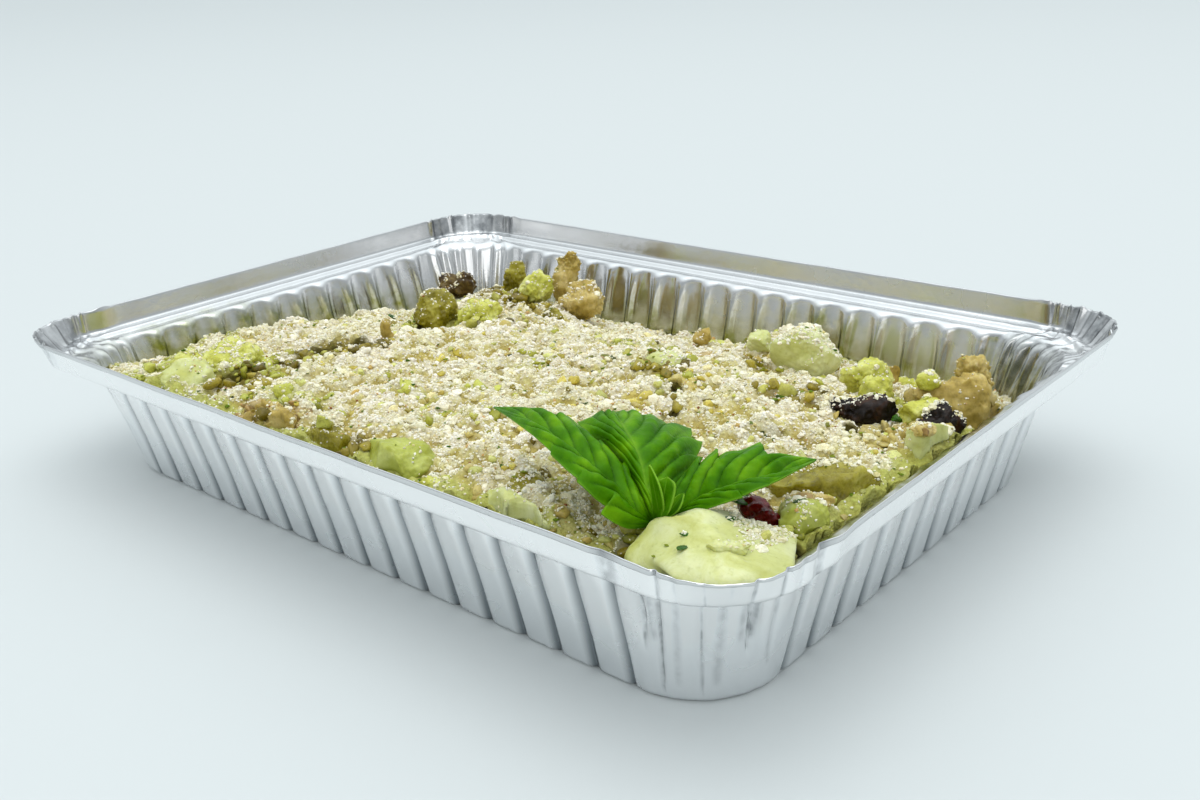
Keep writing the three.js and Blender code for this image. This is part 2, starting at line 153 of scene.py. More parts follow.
# Each row of the sheet from the hem's edge over the bead, down the flange, across the ledge and
# down the wall to the base: its part, and its inset and height or its share of that part. The hem
# and flange are given by how far they lie under the top, the ledge by its rise over a shelf.
HEM = [(0.26, 1.34), (0.06, 1.3), (0, 1.1), (-0.04, 0.8), (-0.07, 0.4), (-0.04, 0.14), (0.06, 0.04),
       (0.18, 0.14), (0.24, 0.4)]
FLANGE = [(0.32, 0.9), (0.5, 2.2), (0.68, 3.4), (0.84, 4.6), (0.98, 5.6), (1.1, 6.2), (1.3, 6.6),
          (1.75, 6.9)]
LEDGE = [(2.6, OUTER_SHELF), (3.9, OUTER_SHELF), (4.8, OUTER_SHELF + 0.02), (5.15, OUTER_SHELF - 0.3),
         (5.5, INNER_SHELF + 0.25), (5.9, INNER_SHELF), (7.1, INNER_SHELF), (8.2, INNER_SHELF)]
WALL_SHARES = (0.05, 0.11, 0.18, 0.26, 0.35, 0.44, 0.54, 0.64, 0.74, 0.84, 0.93, 1.0)
ROWS = [("hem", inset, TRAY_HEIGHT - down) for inset, down in HEM]
ROWS += [("flange", inset, TRAY_HEIGHT - down) for inset, down in FLANGE]
ROWS += [("ledge", inset, z) for inset, z in LEDGE]
ROWS += [("nosing", turn, 0.0) for turn in (16.0, 34.0, 52.0, 71.0, 90.0)]
ROWS += [("wall", share, 0.0) for share in WALL_SHARES]
ROWS += [("foot", inset, z) for inset, z in ((0.3, 0.75), (0.85, 0.28), (1.7, 0.09))]
ROWS += [("base", inset, 0.09) for inset in (22.0, 27.0, 36.0)]


def outline_point(column, inset, flare=0.0, bulge=0.0):
    """Place in plan of one column, at one inset from the rim."""
    side, kind, at = column
    half_length, half_width = TRAY_LENGTH / 2 - inset, TRAY_WIDTH / 2 - inset
    along, out = (half_length, half_width) if side % 2 == 0 else (half_width, half_length)
    radius = float(np.interp(inset, *RADIUS_AT))
    straight = along - radius
    limit = fluted_half(side)
    if kind == "corner":
        turn = math.radians(at)
        reach = radius + flare * math.sin(2 * turn) ** 2 + bulge
        x, y = straight + reach * math.sin(turn), radius - out - reach * math.cos(turn)
    else:
        run = (straight - limit) * at
        x = {"flutes": at, "run_in": -straight + run, "run_out": limit + run}[kind]
        y = -out - bulge
    c, s = ((1, 0), (0, 1), (-1, 0), (0, -1))[side]
    return x * c - y * s, x * s + y * c


def along_side(column):
    """Where a column of a straight side meets the top of the wall, far off for a corner's."""
    side, kind, at = column
    limit = fluted_half(side)
    straight = (TRAY_LENGTH if side % 2 == 0 else TRAY_WIDTH) / 2 - LOBE_TOP - 24.5
    run = (straight - limit) * at
    return {"flutes": at, "run_in": -straight + run, "run_out": limit + run, "corner": 999.0}[kind]


def corner_share(column):
    """Corner number, angle round it in degrees (past either end on the straights) and nearness."""
    side, kind, at = column
    if kind == "corner":
        return side, at, smooth(min(at, 90 - at) / 18 + 0.35)
    if kind == "run_out":
        return side, -14.0 * (1.0 - at), 0.35 * at
    if kind == "run_in":
        return (side - 1) % 4, 90.0 + 14.0 * at, 0.35 * (1.0 - at)
    return side, -99.0, 0.0


def upright_point(column, row, spot, fine):
    """A place on the hem or the flange, pinched, flared and pulled in at the corners."""
    part, inset, z = row
    corner, angle, near = corner_share(column)
    round_share = math.sin(math.radians(2 * angle)) ** 2 if 0 < angle < 90 else 0.0
    if part == "hem" and corner == 0:
        z += max(0.0, TRAY_HEIGHT - 0.6 - z) * 0.8 * round_share ** 0.5
    up = (z - OUTER_SHELF) / (TRAY_HEIGHT - OUTER_SHELF)
    pinch = sum(depth * max(0.0, 1 - abs(angle - at) / (1.25 * width))
                for at, width, depth in FLANGE_CREASES[corner] if angle > -90)
    bulge = 0.16 * near - pinch * (0.35 + 0.65 * up) - CORNER_PULL[corner] * round_share
    bulge += 0.22 * noise.noise(spot) * (0.3 + up)
    bulge += 0.10 * near * noise.noise(fine * 3) + 0.03 * noise.noise(fine)
    lift = 0.08 * noise.noise(spot * 2.2) if up > 0.5 else 0.0
    if up > 0.5:
        lift += 0.35 * near * noise.noise(fine * 1.3)
        lift += 0.9 * (pinch > 0.75) * pinch * (part == "hem")
    z = min(TRAY_HEIGHT - 0.02, z + min(lift, 0.0)) if corner == 0 else min(TRAY_HEIGHT + 0.6, z + lift)
    return *outline_point(column, inset, CORNER_FLARE[corner] * up, bulge), z


def ledge_point(column, row, spot, fine):
    """A place on the ledge, rucked up at the corners."""
    _, inset, z = row
    corner, angle, near = corner_share(column)
    crumple = near * CORNER_CRUMPLE[corner]
    round_share = math.sin(math.radians(2 * angle)) ** 2 if 0 < angle < 90 else 0.0
    ruck = 1.0 - abs(wave(spot.x * 3.5, spot.y * 3.5, inset * 0.35)) * 2.4
    ruck = 0.75 * ruck + 0.35 * noise.noise(fine * 2 + Vector((0, 0, inset * 0.8)))
    z += crumple * ruck * smooth(inset / 5)
    z += 0.07 * noise.noise(spot * 3 + Vector((0, 0, inset * 0.1)))
    z += 0.03 * noise.noise(fine + Vector((0, 0, inset)))
    bulge = crumple * 0.35 * noise.noise(fine * 2.5)
    bulge -= CORNER_PULL[corner] * round_share * (1 - smooth((inset - 2) / 6))
    return *outline_point(column, inset, 0.0, bulge), z


def wall_bulge(column, z, fade, spot, fine):
    """How far pleats, creases and dents push a place on the wall outwards."""
    corner, angle, near = corner_share(column)
    rim_x, rim_y = outline_point(column, 0.0)
    pleat = 1.0 - 2.2 * abs(wave(rim_x * 0.27, rim_y * 0.27, z * 0.02))
    pleat += 0.5 * wave(rim_x * 0.8, rim_y * 0.8, z * 0.04)
    pleat += 0.9 * (0.4 - abs(wave(rim_x * 0.55 + z * 0.03, rim_y * 0.55, 4.0)))
    bulge = -near * CORNER_CRUMPLE[corner] ** 1.5 * 0.75 * pleat * smooth((z - 4.0) / 22.0) * fade
    for top, foot, width, depth, low, high in WALL_CREASES[corner]:
        if low < z <= high + 1:
            at = foot + (top - foot) * z / INNER_SHELF
            ends = smooth((z - low) / 3) * (smooth((high + 1 - z) / 2) if corner == 0 else 1)
            bulge -= depth * math.exp(-((angle - at) / width) ** 2) * ends * fade
    if corner == 1 and angle > 0:
        fold = abs((angle + 0.25 * z + 3 * noise.noise(spot * 4)) / 4.6 % 1 - 0.5) * 2
        bulge -= 0.7 * fold * smooth((z - 6) / 8) * fade * smooth(min(angle, 90 - angle) / 8)
    if corner == 0 and angle > -90:
        dent = math.exp(-((angle - 8) / 4.5) ** 2 - ((z - 22) / 5.0) ** 2)
        bulge -= (0.9 * dent + 0.25 * near * noise.noise(fine * 1.2 + Vector((0, 0, z * 0.09)))) * fade
    bulge += 0.16 * wave(rim_x * 0.05, rim_y * 0.05, z * 0.06) * fade
    return bulge + 0.05 * wave(rim_x * 0.3, rim_y * 0.3, z * 0.12) * fade


def foil_point(column, row):
    """Where the middle of the sheet runs, with its flutes, pleats and dents."""
    part, p, q = row
    corner, _, near = corner_share(column)
    rim_x, rim_y = outline_point(column, 0.0)
    spot = Vector((rim_x * 0.06, rim_y * 0.06, 3.7))
    fine = Vector((rim_x * 0.33, rim_y * 0.33, 1.3))
    if part in ("hem", "flange"):
        return upright_point(column, row, spot, fine)
    if part == "ledge":
        return ledge_point(column, row, spot, fine)
    if part == "base":
        return *outline_point(column, p), q + 0.05 * (1 + noise.noise(spot * 2))
    wide = FLUTE_TOP_HALF
    if part != "nosing":
        wide += (FLUTE_FOOT_HALF - FLUTE_TOP_HALF) * (smooth(p / 0.25) if part == "wall" else 1.0)
    groove = FLUTE_DEPTH * flute(along_side(column), column[0], wide)
    nose = LOBE_TOP - NOSING_START + groove
    drop = nose * (1.0 + 1.2 * near * CORNER_CRUMPLE[corner])
    if part == "nosing":
        turn = math.radians(p)
        inset = NOSING_START + nose * math.sin(turn)
        z = INNER_SHELF - drop * (1.0 - math.cos(turn))
        fade = turn / (math.pi / 2)
    elif part == "wall":
        z = INNER_SHELF - drop + (FOOT_START - INNER_SHELF + drop) * p
        inset = lobe_inset(z) + groove * (1 - 0.4 * smooth((p - 0.5) / 0.5))
        inset += (LOBE_TOP - lobe_inset(INNER_SHELF - drop)) * (1 - p) ** 3
        fade = 1.0
    else:
        inset, z, fade = lobe_inset(FOOT_START) + groove * (0.6 - 0.15 * p) + p, q, 1.0 - p / 1.9
    return *outline_point(column, inset, 0.0, wall_bulge(column, z, fade, spot, fine)), z


def creased_share(column, part, z):
    """How much painted shade darkens the foil along a corner's creases, on its flange's pleat facets and over
    the right corner's wall.
    """
    corner, angle, near = corner_share(column)
    if corner == 0 and angle > -90:
        if part in ("hem", "flange"):
            lines = [(at, width, depth) for at, width, depth in FLANGE_CREASES[0]]
        else:
            lines = [(foot + (top - foot) * z / INNER_SHELF, width, abs(depth) * (low < z < high))
                     for top, foot, width, depth, low, high in WALL_CREASES[0]]
        return max(min(depth, 0.8) * max(0.0, 1 - abs(angle - at) / (0.9 * width))
                   for at, width, depth in lines)
    if part in ("hem", "flange"):
        facet = sum(at < angle for at, _, _ in FLANGE_CREASES[corner])
        return near * (0.3 + 0.65 * (facet * 0.618 % 1)) * (1.0 if corner < 3 else 0.7)
    return near * 0.5 * (corner == 1)


def foil_sheet():
    """A grid bent to the tray, with its two ends joined and the base closed, facing outwards."""
    places = columns()
    bm = bmesh.new()
    pressed = bm.verts.layers.float.new("pressed")
    creased = bm.verts.layers.float.new("creased")
    bmesh.ops.create_grid(bm, x_segments=len(places), y_segments=len(ROWS) - 1, size=1.0)
    for v in bm.verts:
        column = places[round((v.co.x + 1) / 2 * len(places)) % len(places)]
        row = ROWS[round((v.co.y + 1) / 2 * (len(ROWS) - 1))]
        v.co = Vector(foil_point(column, row)) * MM
        # Painted shade: darker in the flutes and towards the foot of the wall.
        if row[0] in ("wall", "foot"):
            v[pressed] = 0.06 + 0.26 * (1 - v.co.z / 0.033) ** 1.5
            v[pressed] += 0.85 * flute(along_side(column), column[0], 2.2)
        # Painted shade along the corner creases and on the pleat facets.
        if row[0] in ("hem", "flange", "nosing", "wall"):
            v[creased] = creased_share(column, row[0], v.co.z / MM)
    bmesh.ops.remove_doubles(bm, verts=bm.verts, dist=1e-6)
    rim = [e for e in bm.edges if e.is_boundary and max(e.verts[0].co.z, e.verts[1].co.z) < 0.001]
    bmesh.ops.contextual_create(bm, geom=rim)
    bmesh.ops.recalc_face_normals(bm, faces=bm.faces)
    if min(bm.faces, key=lambda f: f.calc_center_median().z + (len(f.verts) < 5)).normal.z > 0:
        bmesh.ops.reverse_faces(bm, faces=bm.faces)
    return bm


def placed(mesh, name, material, replaced=(), smooth_faces=True):
    """The finished object of a mesh, riding on the tray's one body."""
    mesh.polygons.foreach_set("use_smooth", [smooth_faces] * len(mesh.polygons))
    mesh.materials.clear()
    for each in material if isinstance(material, tuple) else (material,):
        mesh.materials.append(each)
    piece = bpy.data.objects.new(name, mesh)
    bpy.context.scene.collection.objects.link(piece)
    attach(piece, "root")
    if replaced:
        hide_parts(*replaced)
    return piece


def piece_from(bm, name, material, replaced=()):
    """The finished object of a bmesh."""
    mesh = bpy.data.meshes.new(name)
    bm.to_mesh(mesh)
    bm.free()
    return placed(mesh, name, material, replaced)


def srgb(*chart):
    """A shader colour from the 0 to 255 numbers of a paint chart."""
    return tuple((c / 255 / 12.92) if c <= 10 else ((c / 255 + 0.055) / 1.055) ** 2.4 for c in chart)


def fill(node, **values):
    """Sets a node's own settings and inputs by name, and joins the inputs that are given a socket."""
    for key, value in values.items():
        if hasattr(node, key):
            setattr(node, key, value)
            continue
        socket = node.inputs[key.replace("_", " ")]
        if isinstance(value, bpy.types.NodeSocket):
            node.id_data.links.new(value, socket)
        else:
            socket.default_value = (*value, 1.0) if socket.type == "RGBA" else value
    return node


def adder(tree):
    """A short way to add a node to a tree, filled in, which gives its named output."""
    def add(kind, output, **values):
        return fill(tree.nodes.new("ShaderNode" + kind), **values).outputs[output]
    return add


def new_material(name):
    """A material with its principled shader, and the way to add nodes to it."""
    material = bpy.data.materials.new(name)
    material.use_nodes = True
    return material, material.node_tree.nodes["Principled BSDF"], adder(material.node_tree)


def ramp(add, factor, *stops):
    """A colour ramp through (position, colour) stops."""
    colour = add("ValToRGB", "Color", Fac=factor)
    elements = colour.node.color_ramp.elements
    for i, (at, tone) in enumerate(stops):
        stop = elements[i] if i < 2 else elements.new(at)
        stop.position = at
        stop.color = (*tone, 1.0)
    return colour


def spread(add, factor, low, high, least, most):
    """A value that runs from least to most while the factor runs from low to high."""
    return add("MapRange", "Result", Value=factor, From_Min=low, From_Max=high, To_Min=least, To_Max=most)


def blended(add, factor, under, over):
    return add("Mix", "Result", data_type="RGBA", Factor=factor, A=under, B=over)


def combined(add, one, other, **settings):
    """Two values put together by a maths node, a sum unless the settings say otherwise."""
    result = add("Math", "Value", **settings)
    result.node.id_data.links.new(one, result.node.inputs[0])
    result.node.id_data.links.new(other, result.node.inputs[1])
    return result


def multiplied(add, one, other):
    return add("Mix", "Result", data_type="RGBA", blend_type="MULTIPLY", Factor=1.0, A=one, B=other)


def bumps(add, *layers):
    """One normal from layers of (height, strength, distance), each laid over the one before."""
    normal = add("Bump", "Normal", Height=layers[0][0], Strength=layers[0][1], Distance=layers[0][2])
    for height, strength, distance in layers[1:]:
        normal = add("Bump", "Normal", Height=height, Strength=strength, Distance=distance, Normal=normal)
    return normal


def foil_material(name, inside, bright, worn, softness):
    """Bright rolled foil: a mirror made soft by rolling marks, with painted shade in the flutes, towards the
    foot of the wall and at the corner creases.
    """
    material, shader, add = new_material(name)
    place = add("TexCoord", "Object")
    patches = add("TexNoise", "Fac", Vector=place, Scale=55.0, Detail=3.0)
    marks = add("TexNoise", "Fac", Vector=place, Scale=1600.0, Detail=2.0)
    dimples = add("TexVoronoi", "Distance", Vector=place, Scale=420.0)
    metal = ramp(add, patches, (0.3, (0.91 * bright, 0.92 * bright, 0.93 * bright)),
                 (0.7, (0.955 * bright, 0.96 * bright, 0.965 * bright)))
    # Painted shade darkens the metal in the flutes and towards the foot of the wall.
    pressed = add("Attribute", "Fac", attribute_name="pressed")
    metal = blended(add, spread(add, pressed, 0.0, 1.0, 0.0, worn), metal, (0.16, 0.19, 0.21))
    streaks = add("TexNoise", "Fac", Vector=place, Scale=330.0, Detail=3.0)
    patchy = spread(add, streaks, 0.35, 0.65, 0.45, 1.15)
    # Painted shade along the corner creases and on the pleat facets.
    films = [("creased", (0.17, 0.18, 0.19))]
    if inside:
        # Inside, an olive tint that is partly dressing on the foil and partly a painted reflection of the
        # food.
        films.append(("juice", srgb(136, 140, 40)))
    for attribute, film in films:
        amount = add("Attribute", "Fac", attribute_name=attribute)
        amount = combined(add, amount, patchy, operation="MULTIPLY", use_clamp=True)
        metal = blended(add, amount, metal, film)
    fill(shader, Base_Color=metal, Roughness=spread(add, patches, 0.3, 0.7, softness, softness + 0.14),
         Normal=bumps(add, (marks, 0.08, 0.0002), (dimples, 0.06, 0.0004)), Metallic=1.0)
    return material


# The same foil is made darker inside and lighter outside: painted shade on the inside, painted light on the
# outside.
foil_faces = (foil_material("foil_inside", True, 0.77, 0.3, 0.17),
              foil_material("foil_outside", False, 1.2, 0.9, 0.2))
tray = piece_from(foil_sheet(), "foil_tray_sheet", foil_faces, ("foil_tray",))
tray.data.polygons.foreach_set("material_index", [1] * len(tray.data.polygons))
gauge = tray.modifiers.new("gauge", "SOLIDIFY")
gauge.thickness = FOIL_THICKNESS * MM
gauge.offset = 0.0
gauge.material_offset = -1


# ---- Salad bed ---------------------------------------------------------------------------------
# Boiled potato and oily vegetables pressed into the tray and strewn with dry crumbs. The core
# carries the mounds, the hollows and the relief of the crumbs that lie packed together.

BED_LEVEL = 35.5
SWELLS = [
    (36, 68, 15, 10.5), (94, 70, 18, 4), (-62, 44, 24, 8.5), (-104, -26, 24, 3), (-58, -46, 10, -4),
    (-56, 5, 8, -5), (-37, 6, 6, -4), (95, 7, 9, -5), (114, 52, 14, -7), (93.5, -76, 6, -3),
    (44, -50, 26, 1.5), (70, -20, 24, 1.5),
]

# Hollows sunk into the bed, with painted shade down in them and a dark painted shadow at their middles:
# place, half sizes, heading and depth.
HOLLOWS = [
    (-57, -28, 14, 7.5, 45, 7.5), (-57, -64.5, 5.5, 9, 10, 8.0), (92, -76.5, 4.5, 3, 10, 4.0),
    (116.5, -59, 2.5, 1.6, 40, 3), (-41, 10, 3, 2, 40, 3.5), (-62, 8, 4, 3, 40, 3.5),
    (-52, 40, 5, 3, 40, 3.5), (16, 1, 3.5, 1.6, 40, 2.5), (47, -4, 2, 3, 40, 1.5),
    (60, -24, 2.4, 3, 40, 2.5), (97, 3, 6, 3, 40, 3.0), (-30, -72, 5, 3, 0, 2.5),
]

# Places where the crumbs lie thin: middle, half sizes, heading, what shows there and how strongly.
BARE = [
    (44, -17, 4, 4, 41, "yellow", 0.7), (47, 2, 5, 8, 41, "yellow", 0.8),
    (39, 44, 6, 8, 41, "olive", 0.8), (70, 6, 6, 9, 41, "olive", 0.75),
    (79, 12, 8, 8, 41, "olive", 0.6), (34, 6, 8, 7, 41, "olive", 0.9), (16, 2, 5, 3, 41, "herb", 0.8),
    (60, -23, 3.5, 4, 41, "olive", 0.9), (-55, -32, 17, 9, 45, "olive", 0.95),
    (-55, -62, 8, 13, 10, "olive", 0.9), (90, -72, 5, 3, 20, "herb", 0.8),
    (80, -78, 8, 6, 20, "sand", 0.4), (-33, -66, 16, 6, 10, "lime", 0.55),
    (-24, -76, 14, 6, 8, "tan", 0.75), (8, -77, 8, 6, 8, "olive", 0.6),
    (106, 4, 13, 14, 41, "sand", 0.6), (118, -52, 9, 8, 41, "lime", 0.75),
    (86, -19, 9, 6, 41, "herb", 0.3), (-62, 12, 12, 9, 41, "lime", 0.6),
    (-58, 44, 16, 14, 41, "olive", 0.75), (-86, 36, 14, 10, 41, "lime", 0.6),
    (4, -12, 9, 5, 41, "lime", 0.45), (10, 26, 12, 8, 41, "lime", 0.45),
    (66, -12, 4, 4, 41, "yellow", 0.6), (96, 24, 12, 10, 41, "lime", 0.7),
    (100, 40, 14, 14, 41, "olive", 0.8), (-66, -58, 12, 14, 41, "lime", 0.7),
    (-88, -64, 14, 16, 0, "lime", 0.8), (48, -74, 8, 5, 5, "sand", 0.35),
    (0, -40, 12, 5, 41, "lime", 0.3), (-20, -20, 10, 5, 41, "yellow", 0.3),
    (12, -50, 12, 5, 30, "lime", 0.35), (100, -24, 8, 5, 41, "sand", 0.4),
]
# Tones of the core; gap, hollow and dark are painted shade for its dips and hollows.
BED_TONES = {
    "crumb": srgb(246, 240, 220), "moist": srgb(214, 206, 142), "gap": srgb(180, 162, 84),
    "yellow": srgb(214, 196, 108), "lime": srgb(186, 190, 98), "olive": srgb(128, 112, 34),
    "tan": srgb(176, 142, 84), "sand": srgb(206, 190, 118), "herb": srgb(66, 84, 24),
    "dark": srgb(34, 26, 9), "hollow": srgb(92, 84, 30),
}


def inside_ellipse(x, y, spot):
    """How deep inside an oval place a point lies: 1 in its middle, 0 at its edge and beyond."""
    cx, cy, a, b, heading = spot[:5]
    turn = math.radians(heading)
    dx, dy = x - cx, y - cy
    u = (dx * math.cos(turn) + dy * math.sin(turn)) / a
    v = (-dx * math.sin(turn) + dy * math.cos(turn)) / b
    return max(0.0, 1.0 - (u * u + v * v) ** 0.5)


def bed_height(x, y):
    """Level of the strewn surface: level at the near side and sloping to the far walls."""
    z = BED_LEVEL - math.hypot(0.3 * max(0.0, y - 10), 0.19 * max(0.0, 0.43 * y - 0.9 * x - 33))
    for cx, cy, radius, rise in SWELLS:
        z += rise * math.exp(-((x - cx) ** 2 + (y - cy) ** 2) / radius ** 2)
    z += 0.5 * math.sin(0.21 * x + 0.19 * y + 0.5) + 0.4 * math.sin(0.43 * x - 0.27 * y)
    return z + 0.3 * math.sin(0.31 * x + 0.37 * y + 1.7)


def side_of(x, y):
    """The side of the tray that a place is nearest to, and where it is along that side."""
    gap_x, gap_y = TRAY_LENGTH / 2 - abs(x), TRAY_WIDTH / 2 - abs(y)
    return (0 if y < 0 else 2, x) if gap_y < gap_x else (1 if x > 0 else 3, y)


def wall_gap(x, y, z, clearance=0.35):
    """Distance in plan from a place at some height to the inside of the fluted wall."""
    side, along = side_of(x, y)
    groove = flute(along, side, FLUTE_TOP_HALF + 0.5)
    inset = max(NOSING_START, lobe_inset(min(z, INNER_SHELF))) + FLUTE_DEPTH * groove ** 0.7 + clearance
    if z > INNER_SHELF:
        inset = max(inset, LOBE_TOP + clearance)
    radius = float(np.interp(inset, *RADIUS_AT))
    qx, qy = abs(x) - (TRAY_LENGTH / 2 - inset - radius), abs(y) - (TRAY_WIDTH / 2 - inset - radius)
    return radius - math.hypot(max(qx, 0.0), max(qy, 0.0)) - min(max(qx, qy), 0.0)


def relief(x, y, z):
    """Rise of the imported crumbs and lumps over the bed's level."""
    lump = noise.voronoi(Vector((x * 0.16, y * 0.16, z * 0.1)))[0][0]
    knob = noise.voronoi(Vector((x * 0.42, y * 0.42, z * 0.3 + 7)))[0][0]
    tiny = noise.voronoi(Vector((x * 1.0, y * 1.0, 3.0)))[0][0]
    height = 3.4 * (0.22 - min(lump * lump, 0.7)) + 2.8 * (0.2 - min(knob * knob, 0.6))
    height += 0.6 * (0.2 - min(tiny * tiny, 0.5))
    height += 1.3 * wave(x * 0.07, y * 0.07, 5.0)
    return height + 1.1 * wave(x * 0.15, y * 0.15, 8.0)


def core_height(x, y):
    """Level of the core, sunk in its hollows and a little lower along the wall."""
    z = bed_height(x, y)
    z += relief(x, y, z) - 0.75
    for spot in HOLLOWS:
        z -= spot[5] * 1.35 * smooth(1.25 * inside_ellipse(x, y, spot))
    edge = wall_gap(x, y, z)
    return z - 1.8 * math.exp(-max(edge, 0.0) / 2.2) * smooth((z - 30.5) / 3.0)


def tone_map():
    """Colour of the core and how thickly crumbs lie, worked out for every millimetre of the bed."""
    x, y = np.meshgrid(np.arange(-120.0, 121.0), np.arange(-84.0, 85.0), indexing="ij")

    def over_bed(value):
        return np.array([value(a, b) for a, b in zip(x.ravel(), y.ravel())]).reshape(x.shape)

    def wandering(a, b):
        return 0.22 * wave(a * 0.22, b * 0.22, 9.0) + 0.16 * wave(a * 0.7, b * 0.7, 4.0)

    def dip(a, b):
        level = bed_height(a, b)
        lump = noise.voronoi(Vector((a * 0.16, b * 0.16, level * 0.1)))[0][0]
        knob = noise.voronoi(Vector((a * 0.42, b * 0.42, level * 0.3 + 7)))[0][0]
        return 3.4 * (min(lump * lump, 0.7) - 0.22) + 2.2 * (min(knob * knob, 0.6) - 0.2)

    wander, valley = over_bed(wandering), over_bed(dip)
    colour = np.ones((*x.shape, 3)) * BED_TONES["crumb"]
    crumbs = np.ones(x.shape)

    def soften(value):
        value = np.clip(value, 0, 1)
        return value * value * (3 - 2 * value)

    def cover(share, tone, bareness):
        nonlocal colour, crumbs
        colour = colour * (1 - share[..., None]) + np.array(BED_TONES[tone]) * share[..., None]
        crumbs = crumbs * (1 - bareness * share)

    def depth_in(spot):
        turn = math.radians(spot[4])
        u = ((x - spot[0]) * math.cos(turn) + (y - spot[1]) * math.sin(turn)) / spot[2]
        v = (-(x - spot[0]) * math.sin(turn) + (y - spot[1]) * math.cos(turn)) / spot[3]
        return np.clip(1 - np.hypot(u, v), 0, None)

    from_wall = np.minimum(TRAY_LENGTH / 2 - 12 - np.abs(x), TRAY_WIDTH / 2 - 12 - np.abs(y))
    cover(soften(0.42 + 3.6 * wander + 0.35 * valley), "moist", 0.7)
    # Painted shade: a darker tan in the dips of the relief, with fewer crumbs there.
    cover(soften((valley - 0.25) / 1.1) * 0.8, "gap", 0.6)
    cover(soften((6.5 - from_wall) / 5 + 1.8 * wander) * 0.9, "lime", 0.85)
    for spot in BARE:
        inside = depth_in(spot)
        cover(soften(2.1 * (inside + wander * (inside > 0))) * spot[6], spot[5], 0.96)
    # Painted shade in the hollows, and a near-black painted shadow towards their middles.
    for spot in HOLLOWS:
        inside = depth_in((spot[0], spot[1], spot[2] * 1.3, spot[3] * 1.3, spot[4]))
        cover(soften(2.6 * inside + 1.6 * wander * (inside > 0)), "hollow", 0.9)
        cover(soften(2.6 * inside - 0.7 + 2.2 * wander * (inside > 0)) * 0.8, "dark", 0.9)
    return colour, crumbs


bed_colour, bed_crumbs = tone_map()


def bed_tone(x, y):
    """Colour of the core at a place and how thickly crumbs lie on it."""
    i = min(max(int(round(x)) + 120, 0), 240)
    j = min(max(int(round(y)) + 84, 0), 168)
    return bed_colour[i, j], bed_crumbs[i, j]


def salad_core():
    """A grid raised to the relief, trimmed to the fluted wall and closed underneath."""
    step = 0.66
    across, deep = round(240 / step), round(168 / step)
    bm = bmesh.new()
    bmesh.ops.create_grid(bm, x_segments=across, y_segments=deep, size=1.0)
    outside = set()
    for v in bm.verts:
        x, y = v.co.x * across * step / 2, v.co.y * deep * step / 2
        z = core_height(x, y)
        if wall_gap(x, y, z) < 0:
            outside.add(v)
        v.co = (x, y, z)
    bmesh.ops.delete(bm, geom=[f for f in bm.faces if all(v in outside for v in f.verts)], context="FACES")
    bmesh.ops.delete(bm, geom=[v for v in bm.verts if not v.link_faces], context="VERTS")
    for v in bm.verts:
        x, y, z = v.co
        for _ in range(3):
            gap = wall_gap(x, y, z)
            if gap >= 0:
                break
            gx = wall_gap(x + 0.05, y, z) - gap
            gy = wall_gap(x, y + 0.05, z) - gap
            size = math.hypot(gx, gy) or 1.0
            x, y = x - gap * gx / size, y - gap * gy / size
            z = core_height(x, y)
        v.co = (x, y, z)
    rim = [e for e in bm.edges if e.is_boundary]
    skirt = bmesh.ops.extrude_edge_only(bm, edges=rim)["geom"]
    draw_in = [(half - 22.0) / (half - 12.0) for half in (TRAY_LENGTH / 2, TRAY_WIDTH / 2)]
    for v in skirt:
        if isinstance(v, bmesh.types.BMVert):
            v.co = (v.co.x * draw_in[0], v.co.y * draw_in[1], 1.0)
    bmesh.ops.contextual_create(bm, geom=[g for g in skirt if isinstance(g, bmesh.types.BMEdge)])
    bmesh.ops.scale(bm, vec=(MM, MM, MM), verts=bm.verts)
    bmesh.ops.recalc_face_normals(bm, faces=bm.faces)
    return bm


core_paint, shader, add = new_material("salad_under_crumbs")
place = add("TexCoord", "Object")
speck = add("TexNoise", "Fac", Vector=place, Scale=900.0, Detail=4.0, Roughness=0.7)
mottle = add("TexNoise", "Fac", Vector=place, Scale=260.0, Detail=3.0)
packed = add("TexVoronoi", "Distance", Vector=place, Scale=1150.0, Randomness=1.0)
# Painted shade in the pits of the fine bumps and between the packed grains, a little lighter on their tops.
specks = ramp(add, speck, (0.32, (0.78, 0.74, 0.64)), (0.5, (0.98, 0.97, 0.95)), (0.7, (1.08, 1.08, 1.07)))
gaps = ramp(add, packed, (0.25, (1.0, 1.0, 1.0)), (0.75, (0.86, 0.83, 0.76)))
painted = multiplied(add, add("Attribute", "Color", attribute_name="tone"), multiplied(add, specks, gaps))
rise = add("Bump", "Normal", Height=speck, Strength=0.6, Distance=0.0006)
rise = add("Bump", "Normal", Height=packed, Strength=0.6, Distance=0.0005, Normal=rise, invert=True)
fill(shader, Base_Color=painted, Roughness=spread(add, mottle, 0.35, 0.65, 0.55, 0.9), Normal=rise,
     Specular_IOR_Level=0.1, Subsurface_Weight=0.15, Subsurface_Radius=(0.002, 0.0015, 0.0008),
     Subsurface_Scale=1.0)

core = piece_from(salad_core(), "salad_core", core_paint, ("salad_bed",))
tones = np.ones((len(core.data.vertices), 4))
for i, v in enumerate(core.data.vertices):
    tones[i, :3] = bed_tone(v.co.x / MM, v.co.y / MM)[0]
core.data.color_attributes.new("tone", "FLOAT_COLOR", "POINT").data.foreach_set("color", tones.ravel())

